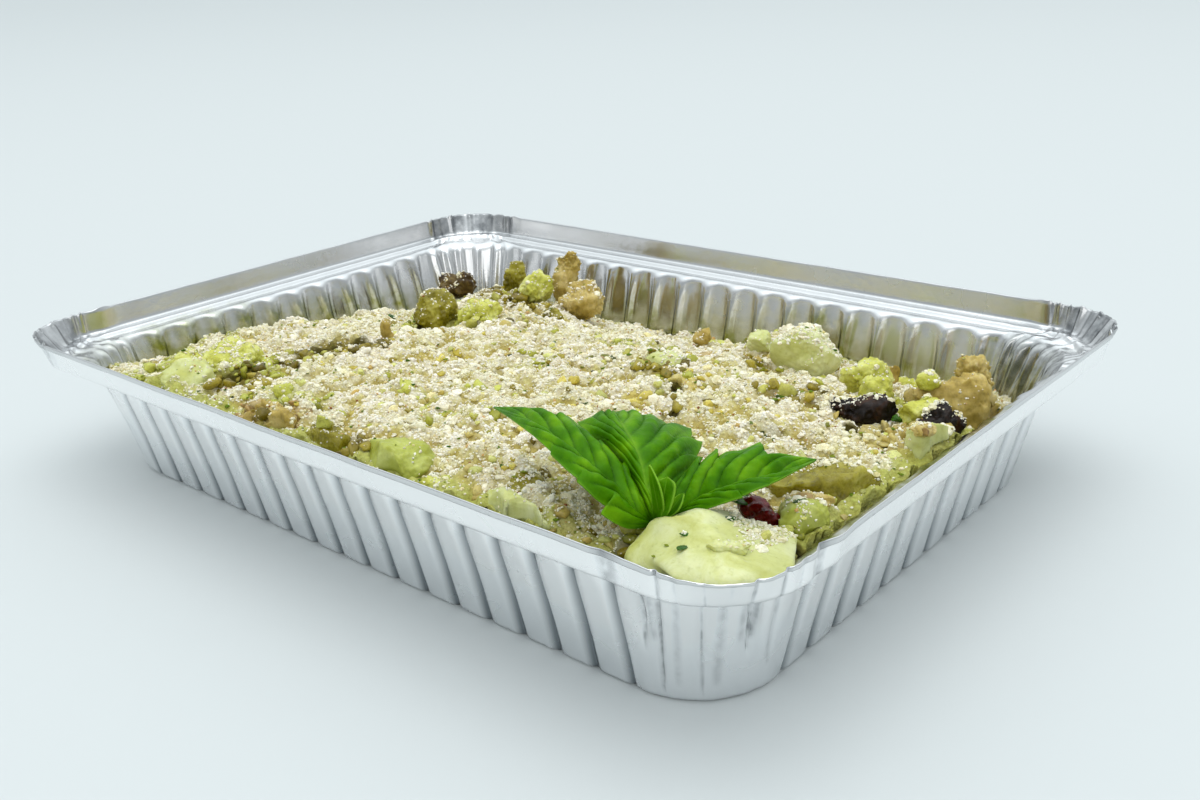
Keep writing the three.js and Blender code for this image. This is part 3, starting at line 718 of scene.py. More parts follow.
# Dressing has splashed up the foil round the food, most of all at the right corner; its olive tint is also a
# painted reflection of the food in the foil, strongest in the grooves.
splash = tray.data.attributes.new("juice", "FLOAT", "POINT")
for i, v in enumerate(tray.data.vertices):
    x, y, z = v.co / MM
    over = z - bed_height(x * 0.93, y * 0.93)
    reach = 11.0 + 5.0 * noise.noise(Vector((x, y, 0)) * 0.09) + (9.0 if x > 96 and y > 50 else 0.0)
    side, along = side_of(x, y)
    in_groove = 0.35 + 0.65 * flute(along, side, 4.5) ** 0.5
    splash.data[i].value = 0.85 * (1 - smooth(over / reach)) * (z < INNER_SHELF + 0.5) * in_groove


# ---- Vegetable pieces --------------------------------------------------------------------------
# Hand-cut chunks of boiled potato, courgette, pickled artichoke, fried mushroom, aubergine and
# dried tomato, pressed half into the bed, wet with oil and herb dressing.

def food_material(name, tones, roughness, wet, scale, height=0.0004, glow=0.25, fleck=0.74, toned=False):
    """Cooked vegetable flesh: three tones in soft patches, fine fibres and an oily coat."""
    material, shader, add = new_material(name)
    place = add("TexCoord", "Object")
    patches = add("TexNoise", "Fac", Vector=place, Scale=scale, Detail=5.0, Roughness=0.62, Distortion=0.6)
    fibres = add("TexNoise", "Fac", Vector=place, Scale=scale * 7, Detail=4.0, Roughness=0.65)
    cells = add("TexVoronoi", "Distance", Vector=place, Scale=scale * 4)
    flecks = ramp(add, fibres, (0.34, (fleck, fleck, fleck - 0.06)), (0.5, (1.0, 1.0, 1.0)))
    colour = multiplied(add, ramp(add, patches, *zip((0.3, 0.5, 0.68), tones)), flecks)
    if toned:
        colour = multiplied(add, colour, add("Attribute", "Color", attribute_name="tone"))
    gloss = spread(add, fibres, 0.35, 0.65, max(0.12, roughness - 0.15), roughness + 0.15)
    fill(shader, Base_Color=colour, Roughness=gloss, Specular_IOR_Level=0.2, Coat_Weight=wet,
         Normal=bumps(add, (patches, 0.5, height), (cells, 0.35, height * 0.4)), Coat_Roughness=0.15,
         Subsurface_Weight=glow, Subsurface_Radius=(0.003, 0.0025, 0.001), Subsurface_Scale=1.0)
    return material


# Each kind of flesh: its name, its deep, middle and light tones, and the rest of its look.
FLESH_LOOKS = {
    "potato": ("boiled_potato", (190, 192, 104), (208, 211, 142), (224, 226, 176), 0.42, 0.12, 110.0,
               {"height": 0.0003, "fleck": 0.9}),
    "green_potato": ("green_potato", (150, 156, 48), (177, 183, 82), (204, 209, 124), 0.42, 0.15, 110.0,
                     {"height": 0.0003, "fleck": 0.88}),
    "courgette": ("soft_courgette", (160, 158, 40), (202, 202, 88), (228, 228, 146), 0.4, 0.15, 150.0, {}),
    "artichoke": ("oiled_artichoke", (94, 84, 4), (140, 130, 24), (176, 167, 66), 0.3, 0.25, 150.0,
                  {"glow": 0.2}),
    "mushroom": ("fried_mushroom", (150, 126, 50), (188, 164, 88), (216, 196, 134), 0.45, 0.1, 150.0, {}),
    "aubergine": ("aubergine_skin", (10, 6, 4), (26, 15, 9), (66, 38, 20), 0.4, 0.05, 200.0, {"glow": 0.0}),
    "dark_rind": ("browned_rind", (40, 26, 12), (86, 66, 30), (126, 106, 52), 0.4, 0.1, 200.0,
                  {"glow": 0.05}),
    "tomato": ("dried_tomato", (48, 0, 4), (104, 4, 8), (150, 18, 12), 0.22, 0.3, 240.0, {"glow": 0.1}),
    "fresh_herb": ("herb_leaf", (26, 58, 2), (48, 92, 8), (84, 128, 26), 0.35, 0.15, 260.0, {"glow": 0.1}),
}
FLESH = {}
for kind, (name, deep, middle, light, roughness, wet, scale, more) in FLESH_LOOKS.items():
    tones = [srgb(*deep), srgb(*middle), srgb(*light)]
    FLESH[kind] = food_material(name, tones, roughness, wet, scale, **more)

# How uneven each kind is cooked: height of its soft dents and of its fine grain in millimetres.
UNEVEN = {"potato": (0.8, 0.3), "courgette": (1.5, 0.8), "artichoke": (1.5, 0.6), "mushroom": (1.8, 0.8),
          "aubergine": (2.2, 0.8), "tomato": (1.6, 0.4)}
SHADE_OF = {"potato_front_left": "green_potato", "potato_right_rim": "green_potato",
            "aubergine_far": "dark_rind"}

# Cuts of the largest chunk, each a direction in its own box and how far out it lies.
LARGEST_CUTS = [(Vector((-0.12, -0.77, 0.63)), 0.66), (Vector((0.51, 0.18, 0.84)), 0.74)]

# Height of the torn mushroom along its length, from left to right.
TORN_EDGE = ([-1.0, -0.7, 0.15, 0.35, 0.5, 0.75, 1.0], [0.92, 0.9, 0.92, 1.0, 0.88, 0.74, 0.6])


def off_foil(spot, clearance=0.5):
    """A place that is nearly in the foil pushed back inside the tray."""
    x, y, z = spot / MM
    if abs(x) < 100 and abs(y) < 66:
        return spot.copy()
    gap = wall_gap(x, y, z, clearance)
    if gap < 3:
        slope = Vector((wall_gap(x + 0.05, y, z, clearance) - gap,
                        wall_gap(x, y + 0.05, z, clearance) - gap))
        if slope.length > 0:
            push = (3 * math.exp((gap - 3) / 3) - gap) * slope.normalized()
            x, y = x + push.x, y + push.y
    return Vector((x, y, z)) * MM


def softened(bm, rounds):
    """Smooths all of a bmesh a number of times."""
    for _ in range(rounds):
        bmesh.ops.smooth_vert(bm, verts=bm.verts, factor=0.5, use_axis_x=True, use_axis_y=True,
                              use_axis_z=True)


def knife_cuts(node, kind):
    """The flat cuts of a piece, each a direction in its own box and how far out it lies."""
    pick = random.Random(sum(ord(c) * 7 ** (i % 5) for i, c in enumerate(node)))
    reach = (0.62, 0.82) if kind in ("potato", "courgette", "mushroom") else (0.78, 0.95)
    cuts = []
    for _ in range(5 if kind == "potato" else 9):
        across = Vector((pick.gauss(0, 1), pick.gauss(0, 1), pick.gauss(0, 0.5))).normalized()
        cuts.append((across, pick.uniform(*reach)))
    return LARGEST_CUTS if node == "potato_near_corner" else cuts


def cooked_piece(node, kind):
    """The node's own lump remeshed finely, rounded at its cuts and made uneven."""
    source = frame["nodes"][node].data.copy()
    bm = bmesh.new()
    bm.from_mesh(source)
    bmesh.ops.remove_doubles(bm, verts=bm.verts, dist=1e-6)
    bm.to_mesh(source)
    bm.free()
    rough_lump = bpy.data.objects.new(node + "_lump", source)
    bpy.context.scene.collection.objects.link(rough_lump)
    low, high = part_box(node)
    grain = 0.0006 if (high - low).length > 0.03 else 0.00045
    remesh = rough_lump.modifiers.new("remesh", "REMESH")
    remesh.mode = "VOXEL"
    remesh.voxel_size = grain
    rounding = rough_lump.modifiers.new("rounding", "SMOOTH")
    rounding.factor = 0.6
    rounding.iterations = 5
    finished = rough_lump.evaluated_get(bpy.context.evaluated_depsgraph_get())
    made = bpy.data.meshes.new_from_object(finished)
    bpy.data.objects.remove(rough_lump)
    soft, fine = UNEVEN[kind]
    middle, half = (low + high) / 2, (high - low) / 2
    cuts = knife_cuts(node, kind)
    bm = bmesh.new()
    bm.from_mesh(made)
    for v in bm.verts:
        place = Vector((v.co[i] - middle[i]) / half[i] for i in range(3))
        for across, reach in cuts:
            beyond = place.dot(across) - reach
            if beyond > 0:
                place -= across * beyond * 0.88
        v.co = Vector(place[i] * half[i] + middle[i] for i in range(3))
    softened(bm, 6 if kind == "potato" else 2)
    for i in range(3):
        least, most = min(v.co[i] for v in bm.verts), max(v.co[i] for v in bm.verts)
        for v in bm.verts:
            v.co[i] = low[i] + (v.co[i] - least) * (high[i] - low[i]) / (most - least)
    bm.normal_update()
    moves = []
    for v in bm.verts:
        p = v.co / MM
        swell = soft * (noise.noise(p * 0.15) + 0.6 * noise.noise(p * 0.36 + Vector((3, 1, 7))))
        rough = 0.4 + 1.2 * smooth(0.5 + 1.6 * noise.noise(p * 0.12 + Vector((9, 2, 4))))
        swell += fine * rough * (noise.noise(p * 0.9) + 0.5 * noise.noise(p * 2.1))
        swell -= 1.3 * fine * rough * max(0.0, 0.25 - abs(noise.noise(p * 0.5 + Vector((5, 5, 5)))))
        moves.append(v.normal * (swell - 0.1) * MM)
    for v, move in zip(bm.verts, moves):
        v.co += move
        if node == "mushroom_torn_right":
            along = ((v.co.x - middle.x) * 0.79 + (v.co.y - middle.y) * 0.62) / 0.0135
            along += 0.16 * noise.noise(v.co / MM * 0.5)
            v.co.z = low.z + (v.co.z - low.z) * float(np.interp(along, *TORN_EDGE))
        if node == "potato_near_corner":
            ahead = ((v.co.x - middle.x) * 0.66 - (v.co.y - middle.y) * 0.75) / MM
            low_down = 1 - smooth((v.co.z / MM - 38.5) / 2.5)
            v.co += Vector((0.66, -0.75, 0)) * (6.0 * smooth((ahead - 1) / 8) * low_down * MM)
            over_ledge = off_foil(v.co, 2.8 - LOBE_TOP)
            v.co = off_foil(v.co).lerp(over_ledge, smooth((v.co.z / MM - INNER_SHELF - 1) / 1.2))
        else:
            v.co = off_foil(v.co)
    softened(bm, 8 if node == "potato_near_corner" else 0)
    return piece_from(bm, node + "_cooked", FLESH[SHADE_OF.get(node, kind)], (node,))


chunks = {}
for subpart in frame["record"]["subparts"]:
    node, kind = subpart["node"], subpart["material_slot"]
    if kind in FLESH:
        chunks[node] = cooked_piece(node, kind)


# ---- Crumbs ------------------------------------------------------------------------------------
# Dry crumbs of bread and hard cheese strewn over the salad: mostly cream grains under a
# millimetre, some coarser lumps, and toasted, yellow and brown ones among them.

def grain_shape(seed, faces=8, cuts=0):
    """A closed grain of unit radius made uneven, with flat breaks: 8, 20, 80 or 320 faces."""
    bm = bmesh.new()
    if faces == 8:
        bmesh.ops.create_uvsphere(bm, u_segments=4, v_segments=2, radius=1.0)
    else:
        bmesh.ops.create_icosphere(bm, subdivisions={20: 1, 80: 2, 320: 3}[faces], radius=1.0)
    bmesh.ops.triangulate(bm, faces=bm.faces)
    pick = random.Random(seed)
    stretch = Vector((pick.uniform(0.85, 1.3), pick.uniform(0.8, 1.1), pick.uniform(0.7, 1.0)))
    for v in bm.verts:
        push = 1 + 0.45 * noise.noise(v.co * 1.6 + Vector((seed * 3.1, 0, 0)))
        push += 0.2 * noise.noise(v.co * 4 + Vector((0, seed, 0)))
        v.co = v.co * push * pick.uniform(0.92, 1.08)
    for _ in range(cuts):
        across = Vector((pick.gauss(0, 1), pick.gauss(0, 1), pick.gauss(0, 1))).normalized()
        reach = pick.uniform(0.42, 0.72)
        for v in bm.verts:
            v.co -= across * max(0.0, v.co.dot(across) - reach) * 0.9
    for v in bm.verts:
        v.co = Vector(v.co[i] * stretch[i] for i in range(3))
    bm.verts.index_update()
    points = np.array([v.co[:] for v in bm.verts])
    corners = np.array([[v.index for v in f.verts] for f in bm.faces])
    bm.free()
    return points, corners


def turned(rng, count):
    """Random turns as matrices."""
    q = rng.normal(size=(count, 4))
    w, x, y, z = (q / np.linalg.norm(q, axis=1, keepdims=True)).T
    return np.stack([
        1 - 2 * (y * y + z * z), 2 * (x * y - w * z), 2 * (x * z + w * y),
        2 * (x * y + w * z), 1 - 2 * (x * x + z * z), 2 * (y * z - w * x),
        2 * (x * z - w * y), 2 * (y * z + w * x), 1 - 2 * (x * x + y * y)], axis=1).reshape(count, 3, 3)


def surface_under(objects):
    """One search tree over the bed and the pieces, and which of them each face belongs to."""
    points, faces, owner = [], [], []
    for index, piece in enumerate(objects):
        start = len(points)
        points += [v.co.copy() for v in piece.data.vertices]
        faces += [[start + i for i in f.vertices] for f in piece.data.polygons]
        owner += [index] * len(piece.data.polygons)
    return BVHTree.FromPolygons(points, faces), owner


# How thickly crumbs cling to each piece that they fall on.
DUSTED = {
    "potato_near_corner": 1, "potato_front_right": 0.12, "potato_front_left": 0.1,
    "potato_left_corner": 0.15, "potato_far_side": 1, "courgette_left": 0.6, "mushroom_front": 0.25,
    "artichoke_front": 0.3, "artichoke_by_basil": 0.5, "artichoke_bar_right": 0.6, "tomato_strip": 0.04,
    "potato_right_rim": 0.45, "mushroom_torn_right": 0.03, "mushroom_right_corner": 0.1,
    "aubergine_left": 1, "aubergine_right": 0.9, "courgette_right_back": 0.1,
    "courgette_right_front": 0.05, "courgette_right_middle": 0.05, "potato_by_right_rim": 0.5,
    "artichoke_upright_far": 0.1, "mushroom_upright_far": 0.15, "mushroom_far": 0.3,
    "courgette_far": 0.15, "aubergine_far": 0.2, "artichoke_far_left": 0.2, "courgette_far_left": 0.3,
    "potato_middle": 0.35,
}

# Pieces dusted on one side only: its direction in plan, and how far from the middle it starts.
DUSTED_SIDE = {
    "potato_near_corner": ((0.62, 0.78), 5), "potato_front_left": ((0.7, 0.7), 2),
    "potato_left_corner": ((0.7, 0.7), 0), "courgette_left": ((0.75, 0.6), -2),
    "artichoke_bar_right": ((-0.66, 0.75), 0), "aubergine_left": ((-0.66, 0.75), -1.5),
    "aubergine_right": ((-0.66, 0.75), 0),
}
piece_middle = {}


def crumb_share(owner, x, y):
    """Chance that a crumb falling here stays."""
    name = ground_names[owner]
    if name == "salad_bed":
        return bed_tone(x, y)[1]
    if name in ("bits", "lumps"):
        return 0.9 * bed_tone(x, y)[1] * smooth(0.4 + 2.5 * wave(x * 0.4, y * 0.4, 11.0))
    share = DUSTED[name]
    patchy = 1.7 * smooth(0.4 + 2.8 * wave(x * 0.3, y * 0.3, 11.0))
    share *= max(0.06 if share < 0.9 else 0.6, patchy)
    if name not in DUSTED_SIDE:
        return share
    (dx, dy), start = DUSTED_SIDE[name]
    middle = piece_middle[name]
    along = (x - middle.x) * dx + (y - middle.y) * dy
    return share * smooth((along - start) / 3.0 + 0.5)


def joined(name, spots, shapes, colours, flat, rng, material, sharp):
    """One mesh of many grains, each turned its own way and with its own tone."""
    turns = turned(rng, len(spots))
    picked = rng.integers(0, len(shapes), len(spots))
    scales = spots[:, 3:4] * rng.uniform(0.85, 1.2, (len(spots), 3))
    points, corners, tones, base = [], [], [], 0
    for k, (shape, shape_faces) in enumerate(shapes):
        mine = np.flatnonzero(picked == k)
        made = np.einsum("nij,nvj->nvi", turns[mine], shape[None] * scales[mine][:, None])
        made = made * (1.0, 1.0, flat) + spots[mine][:, None, :3]
        points.append(made.reshape(-1, 3))
        first = base + np.arange(len(mine)) * len(shape)
        corners.append((shape_faces[None] + first[:, None, None]).reshape(-1, 3))
        tones.append(np.repeat(colours[mine], len(shape), axis=0))
        base += len(mine) * len(shape)
    points, corners = np.concatenate(points) * MM, np.concatenate(corners)
    tones = np.concatenate(tones)
    mesh = bpy.data.meshes.new(name)
    mesh.vertices.add(len(points))
    mesh.vertices.foreach_set("co", points.ravel())
    mesh.loops.add(corners.size)
    mesh.loops.foreach_set("vertex_index", corners.ravel())
    mesh.polygons.add(len(corners))
    mesh.polygons.foreach_set("loop_start", np.arange(0, corners.size, 3))
    mesh.update(calc_edges=True)
    four = np.concatenate([tones, np.ones((len(tones), 1))], axis=1)
    mesh.color_attributes.new("tone", "FLOAT_COLOR", "POINT").data.foreach_set("color", four.ravel())
    return placed(mesh, name, material, (), not sharp)


def drop(count, size, rng, share, pick_place, flat=0.8, sink=0.25):
    """Where grains come to lie when they fall on the bed and the pieces."""
    spots = []
    for _ in range(count * 6):
        if len(spots) == count:
            break
        x, y = pick_place(rng)
        hit, normal, face, _ = tree.ray_cast(Vector((x, y, 70)) * MM, Vector((0, 0, -1)))
        if hit is None:
            continue
        z = hit.z / MM
        radius = size[0] * (size[1] / size[0]) ** (rng.random() ** 1.5)
        if owners[face] == 0 and (wall_gap(x, y, z) < radius + 0.2 or normal.z < 0.1):
            continue
        if rng.random() < share(owners[face], x, y):
            spots.append((x, y, z + radius * flat * (0.6 - sink), radius))
    return np.array(spots)


def anywhere(rng):
    """A place in plan somewhere over the food."""
    return rng.uniform(-117, 117), rng.uniform(-82, 82)


def tones_from(palette, count, rng):
    """Tones drawn from a palette of (weight, colour), each a little lighter or darker."""
    weights = np.array([w for w, _ in palette])
    choice = rng.choice(len(palette), count, p=weights / weights.sum())
    return np.array([c for _, c in palette])[choice] * rng.uniform(0.88, 1.06, (count, 1))


def oiliness(x, y):
    """How far the dressing has soaked into the crumbs at a place."""
    soaked = smooth(0.42 + 1.5 * wave(x * 0.05, y * 0.05, 21.0) + 1.1 * wave(x * 0.2, y * 0.2, 5.0))
    return soaked + 0.5 * (x > 60) * smooth((x - 0.5 * y - 85) / 30)


def strewn(name, count, size, faces, palette, seed, material, share=crumb_share,
           sink=0.25, flat=0.8):
    """Grains dropped everywhere on the bed and the pieces."""
    rng = np.random.default_rng(seed)
    spots = drop(count, size, rng, share, anywhere, flat, sink)
    shapes = [grain_shape(seed * 31 + k, faces, 2) for k in range(12)]
    oily = np.clip([oiliness(x, y) for x, y, _, _ in spots], 0, 1)
    colours = tones_from(palette, len(spots), rng) * (1 - oily[:, None] * np.array((0.05, 0.04, 0.15)))
    return joined(name, spots, shapes, colours, flat, rng, material, True)


def grain_material(name, roughness, glow):
    """A dry grain in its own tone, with fine pores."""
    material, shader, add = new_material(name)
    pores = add("TexNoise", "Fac", Vector=add("TexCoord", "Object"), Scale=2200.0, Detail=3.0)
    shade = ramp(add, pores, (0.3, (0.82, 0.79, 0.72)), (0.6, (1.05, 1.05, 1.05)))
    colour = multiplied(add, add("Attribute", "Color", attribute_name="tone"), shade)
    fill(shader, Base_Color=colour, Normal=bumps(add, (pores, 0.4, 0.0002)), Roughness=roughness,
         Specular_IOR_Level=0.08, Subsurface_Weight=glow, Subsurface_Radius=(0.0012, 0.001, 0.0007),
         Subsurface_Scale=1.0)
    return material


# Single scraps that stand out: place in plan and rise of the middle over what lies under it, size,
# heading and lean in degrees.
SCRAPS = [
    ("pale_ball_far", "potato", (33.7, 54.0, 1.2), (7.5, 7.5, 7.5), 0, 0),
    ("tan_scrap_far", "mushroom", (11.0, 57.0, 1.6), (6.0, 3.5, 6.5), 40, 10),
    ("shell_scrap_far", "mushroom", (74.0, 60.0, 1.5), (5.0, 2.5, 7.0), 50, 20),
    ("green_lump_right", "courgette", (104.0, 21.0, 1.0), (6.5, 5.0, 5.5), 30, 0),
    ("peel_right", "basil", (100.2, 13.6, 0.4), (4.5, 2.5, 2.0), 35, 0),
    ("tan_crumb_right", "mushroom", (115.5, -4.6, 0.4), (6.0, 4.0, 3.0), 60, 0),
    ("toasted_strip", "mushroom", (110.5, -44.0, 0.2), (11.0, 4.0, 3.5), 40, 8),
    ("tomato_scrap", "tomato", (100.0, -48.5, 0.8), (4.5, 3.5, 4.5), 60, 20),
    ("herb_leaf_near", "basil", (101.5, -54.5, 0.2), (7.0, 4.5, 0.9), 50, 12),
    ("herb_leaf_front", "basil", (16.5, -69.0, 0.2), (5.0, 3.0, 0.5), 60, 15),
    ("herb_leaf_far", "basil", (-81.0, 12.0, 0.8), (6.0, 5.0, 1.0), 60, 35),
    ("lime_lumps_front", "courgette", (37.0, -78.6, 0.6), (8.0, 4.0, 3.6), 10, 0),
    ("lime_lumps_left", "courgette", (-84.0, -62.0, 1.0), (12.0, 9.0, 8.0), 20, 0),
    ("lime_wall_left", "courgette", (-92.0, -44.0, 0.6), (15.0, 10.0, 8.0), 70, 0),
    ("olive_scrap_far", "artichoke", (-36.0, 40.0, 0.6), (7.0, 5.0, 4.5), 30, 0),
    ("olive_scrap_middle", "artichoke", (38.0, 42.0, 0.3), (8.0, 5.0, 4.0), 40, 0),
    ("lime_wall_right", "courgette", (76.0, 66.0, 0.2), (14.0, 6.0, 5.0), 0, 0),
    ("lime_wall_middle", "courgette", (10.0, 68.0, 0.2), (15.0, 6.0, 5.0), 0, 0),
    ("pale_lump_rim", "potato", (113.0, -75.5, 0.0), (8.0, 3.5, 3.0), 40, 0),
    ("herb_on_potato", "basil", (103.5, -75.5, 0.15), (2.0, 1.2, 0.6), 20, 0),
    ("herb_on_potato_front", "basil", (105.5, -78.5, 0.15), (3.0, 1.8, 0.6), 70, 0),
    ("herb_on_potato_top", "basil", (107.5, -66.5, 0.15), (2.8, 2.0, 0.6), 45, 0),
    ("herb_on_lump", "basil", (112.5, -51.0, 0.15), (2.4, 1.8, 0.6), 80, 0),
]


def scrap_lump(at, size, heading, lean, seed):
    """A small torn lump at a place, with knife cuts and a gritty face."""
    bm = bmesh.new()
    bmesh.ops.create_icosphere(bm, subdivisions=5, radius=0.5)
    pick = random.Random(seed)
    cuts = []
    for _ in range(7):
        across = Vector((pick.gauss(0, 1), pick.gauss(0, 1), pick.gauss(0, 1))).normalized()
        cuts.append((across, pick.uniform(0.3, 0.42)))
    turn = Matrix.Rotation(math.radians(heading), 3, "Z") @ Matrix.Rotation(math.radians(lean), 3, "Y")
    for v in bm.verts:
        spot = v.co * (1 + 0.3 * noise.noise(v.co * 3 + Vector((seed, 0, 0))))
        for across, reach in cuts:
            spot -= across * max(0.0, spot.dot(across) - reach) * 0.85
        spot = turn @ Vector(spot[i] * size[i] for i in range(3)) + Vector(at)
        grit = 0.35 * noise.noise(spot * 0.9) + 0.18 * noise.noise(spot * 2.2)
        v.co = (spot + turn @ v.co.normalized() * grit * min(1.0, size[2] / 3)) * MM
    return bm


def curled_pod():
    """A thin bean pod curled round most of half a turn and standing upright."""
    bm = bmesh.new()
    ring = bmesh.ops.create_circle(bm, segments=16, radius=1.5 * MM)["verts"]
    bmesh.ops.rotate(bm, verts=ring, cent=(0, 0, 0), matrix=Matrix.Rotation(math.pi / 2, 3, "X"))
    bmesh.ops.translate(bm, verts=ring, vec=(4.2 * MM, 0, 0))
    bmesh.ops.spin(bm, geom=ring + list(bm.edges), cent=(0, 0, 0), axis=(0, 0, 1),
                   angle=math.radians(190), steps=26, use_duplicate=False)
    bmesh.ops.remove_doubles(bm, verts=bm.verts, dist=1e-7)
    bmesh.ops.holes_fill(bm, edges=[e for e in bm.edges if e.is_boundary])
    stand = Matrix.Translation(Vector((-43.5, -17.5, 37.5)) * MM)
    for degrees, axis in ((131, "Z"), (78, "Y"), (-60, "Z")):
        stand = stand @ Matrix.Rotation(math.radians(degrees), 4, axis)
    bmesh.ops.transform(bm, matrix=stand, verts=bm.verts)
    for v in bm.verts:
        v.co += v.normal * 0.25 * noise.noise(v.co / MM * 0.6) * MM
    bmesh.ops.recalc_face_normals(bm, faces=bm.faces)
    return bm


tree, owners = surface_under([core] + list(chunks.values()))
for seed, (name, kind, (x, y, rise), size, heading, lean) in enumerate(SCRAPS):
    at = (x, y, rise + tree.ray_cast(Vector((x, y, 70)) * MM, Vector((0, 0, -1)))[0].z / MM)
    flesh = FLESH["fresh_herb" if kind == "basil" else kind]
    chunks[name] = piece_from(scrap_lump(at, size, heading, lean, seed + 50), name, flesh)
    DUSTED[name] = 0.25
chunks["curled_pod"] = piece_from(curled_pod(), "curled_pod", FLESH["mushroom"])
DUSTED["curled_pod"] = 0.1
ground = [core] + list(chunks.values())
ground_names = ["salad_bed"] + list(chunks)
tree, owners = surface_under(ground)
for name, piece in chunks.items():
    points = [v.co for v in piece.data.vertices]
    piece_middle[name] = sum(points, Vector()) / len(points) / MM

# Small cut vegetables pressed into the bed wherever the crumbs lie thin, and a few elsewhere.
BIT_TONES = {
    "yellow": [(3, srgb(224, 206, 104)), (2, srgb(204, 184, 74)), (1, srgb(188, 190, 80))],
    "lime": [(4, srgb(200, 202, 94)), (2, srgb(172, 172, 56)), (2, srgb(222, 222, 140)),
             (0.6, srgb(132, 134, 26))],
    "olive": [(3, srgb(144, 128, 28)), (2, srgb(172, 156, 54)), (1, srgb(108, 94, 12)),
              (2, srgb(190, 186, 86))],
    "tan": [(3, srgb(176, 146, 90)), (2, srgb(196, 170, 112)), (1, srgb(146, 116, 64))],
    "sand": [(3, srgb(206, 188, 118)), (2, srgb(186, 164, 88)), (1, srgb(196, 196, 116))],
    "herb": [(1, srgb(70, 84, 14)), (1, srgb(118, 118, 30)), (0.7, srgb(164, 160, 64))],
    "gold": [(2, srgb(200, 176, 96)), (2, srgb(214, 196, 122)), (1, srgb(172, 146, 70))],
}
bit_paint = food_material("cut_vegetables", [(0.6, 0.58, 0.5), (0.95, 0.95, 0.92), (1.1, 1.1, 1.08)], 0.42,
                          0.3, 300.0, toned=True)


def out_of_hollows(owner, x, y):
    """Chance that a bit stays: only on the bed, and not down in a hollow."""
    return 0.0 if owner or any(inside_ellipse(x, y, spot) > 0.45 for spot in HOLLOWS) else 1.0


rng = np.random.default_rng(5)
spots, colours = [], []
for patch in BARE + [(0, 0, 112, 78, 0, kind, 0.3) for kind in ("lime", "yellow", "olive", "sand")]:
    wide = patch[2] > 60
    number = 90 if wide else max(4, int(patch[2] * patch[3] * patch[6] * (0.32 if patch[0] > -50 else 0.5)))
    turn = math.radians(patch[4])

    def in_patch(rng):
        """A place in plan inside the patch."""
        away, round_it = math.sqrt(rng.random()), rng.uniform(0, 2 * math.pi)
        u, v = patch[2] * away * math.cos(round_it), patch[3] * away * math.sin(round_it)
        return (patch[0] + u * math.cos(turn) - v * math.sin(turn),
                patch[1] + u * math.sin(turn) + v * math.cos(turn))

    found = drop(number, (0.9, 1.7 if wide else 3.0), rng, out_of_hollows, in_patch, 0.85, 0.55)
    if len(found):
        spots.append(found)
        colours.append(tones_from(BIT_TONES[patch[5]], len(found), rng))
bits = joined("cut_vegetable_bits", np.concatenate(spots), [grain_shape(900 + k, 80, 7) for k in range(20)],
              np.concatenate(colours), 0.75, rng, bit_paint, False)

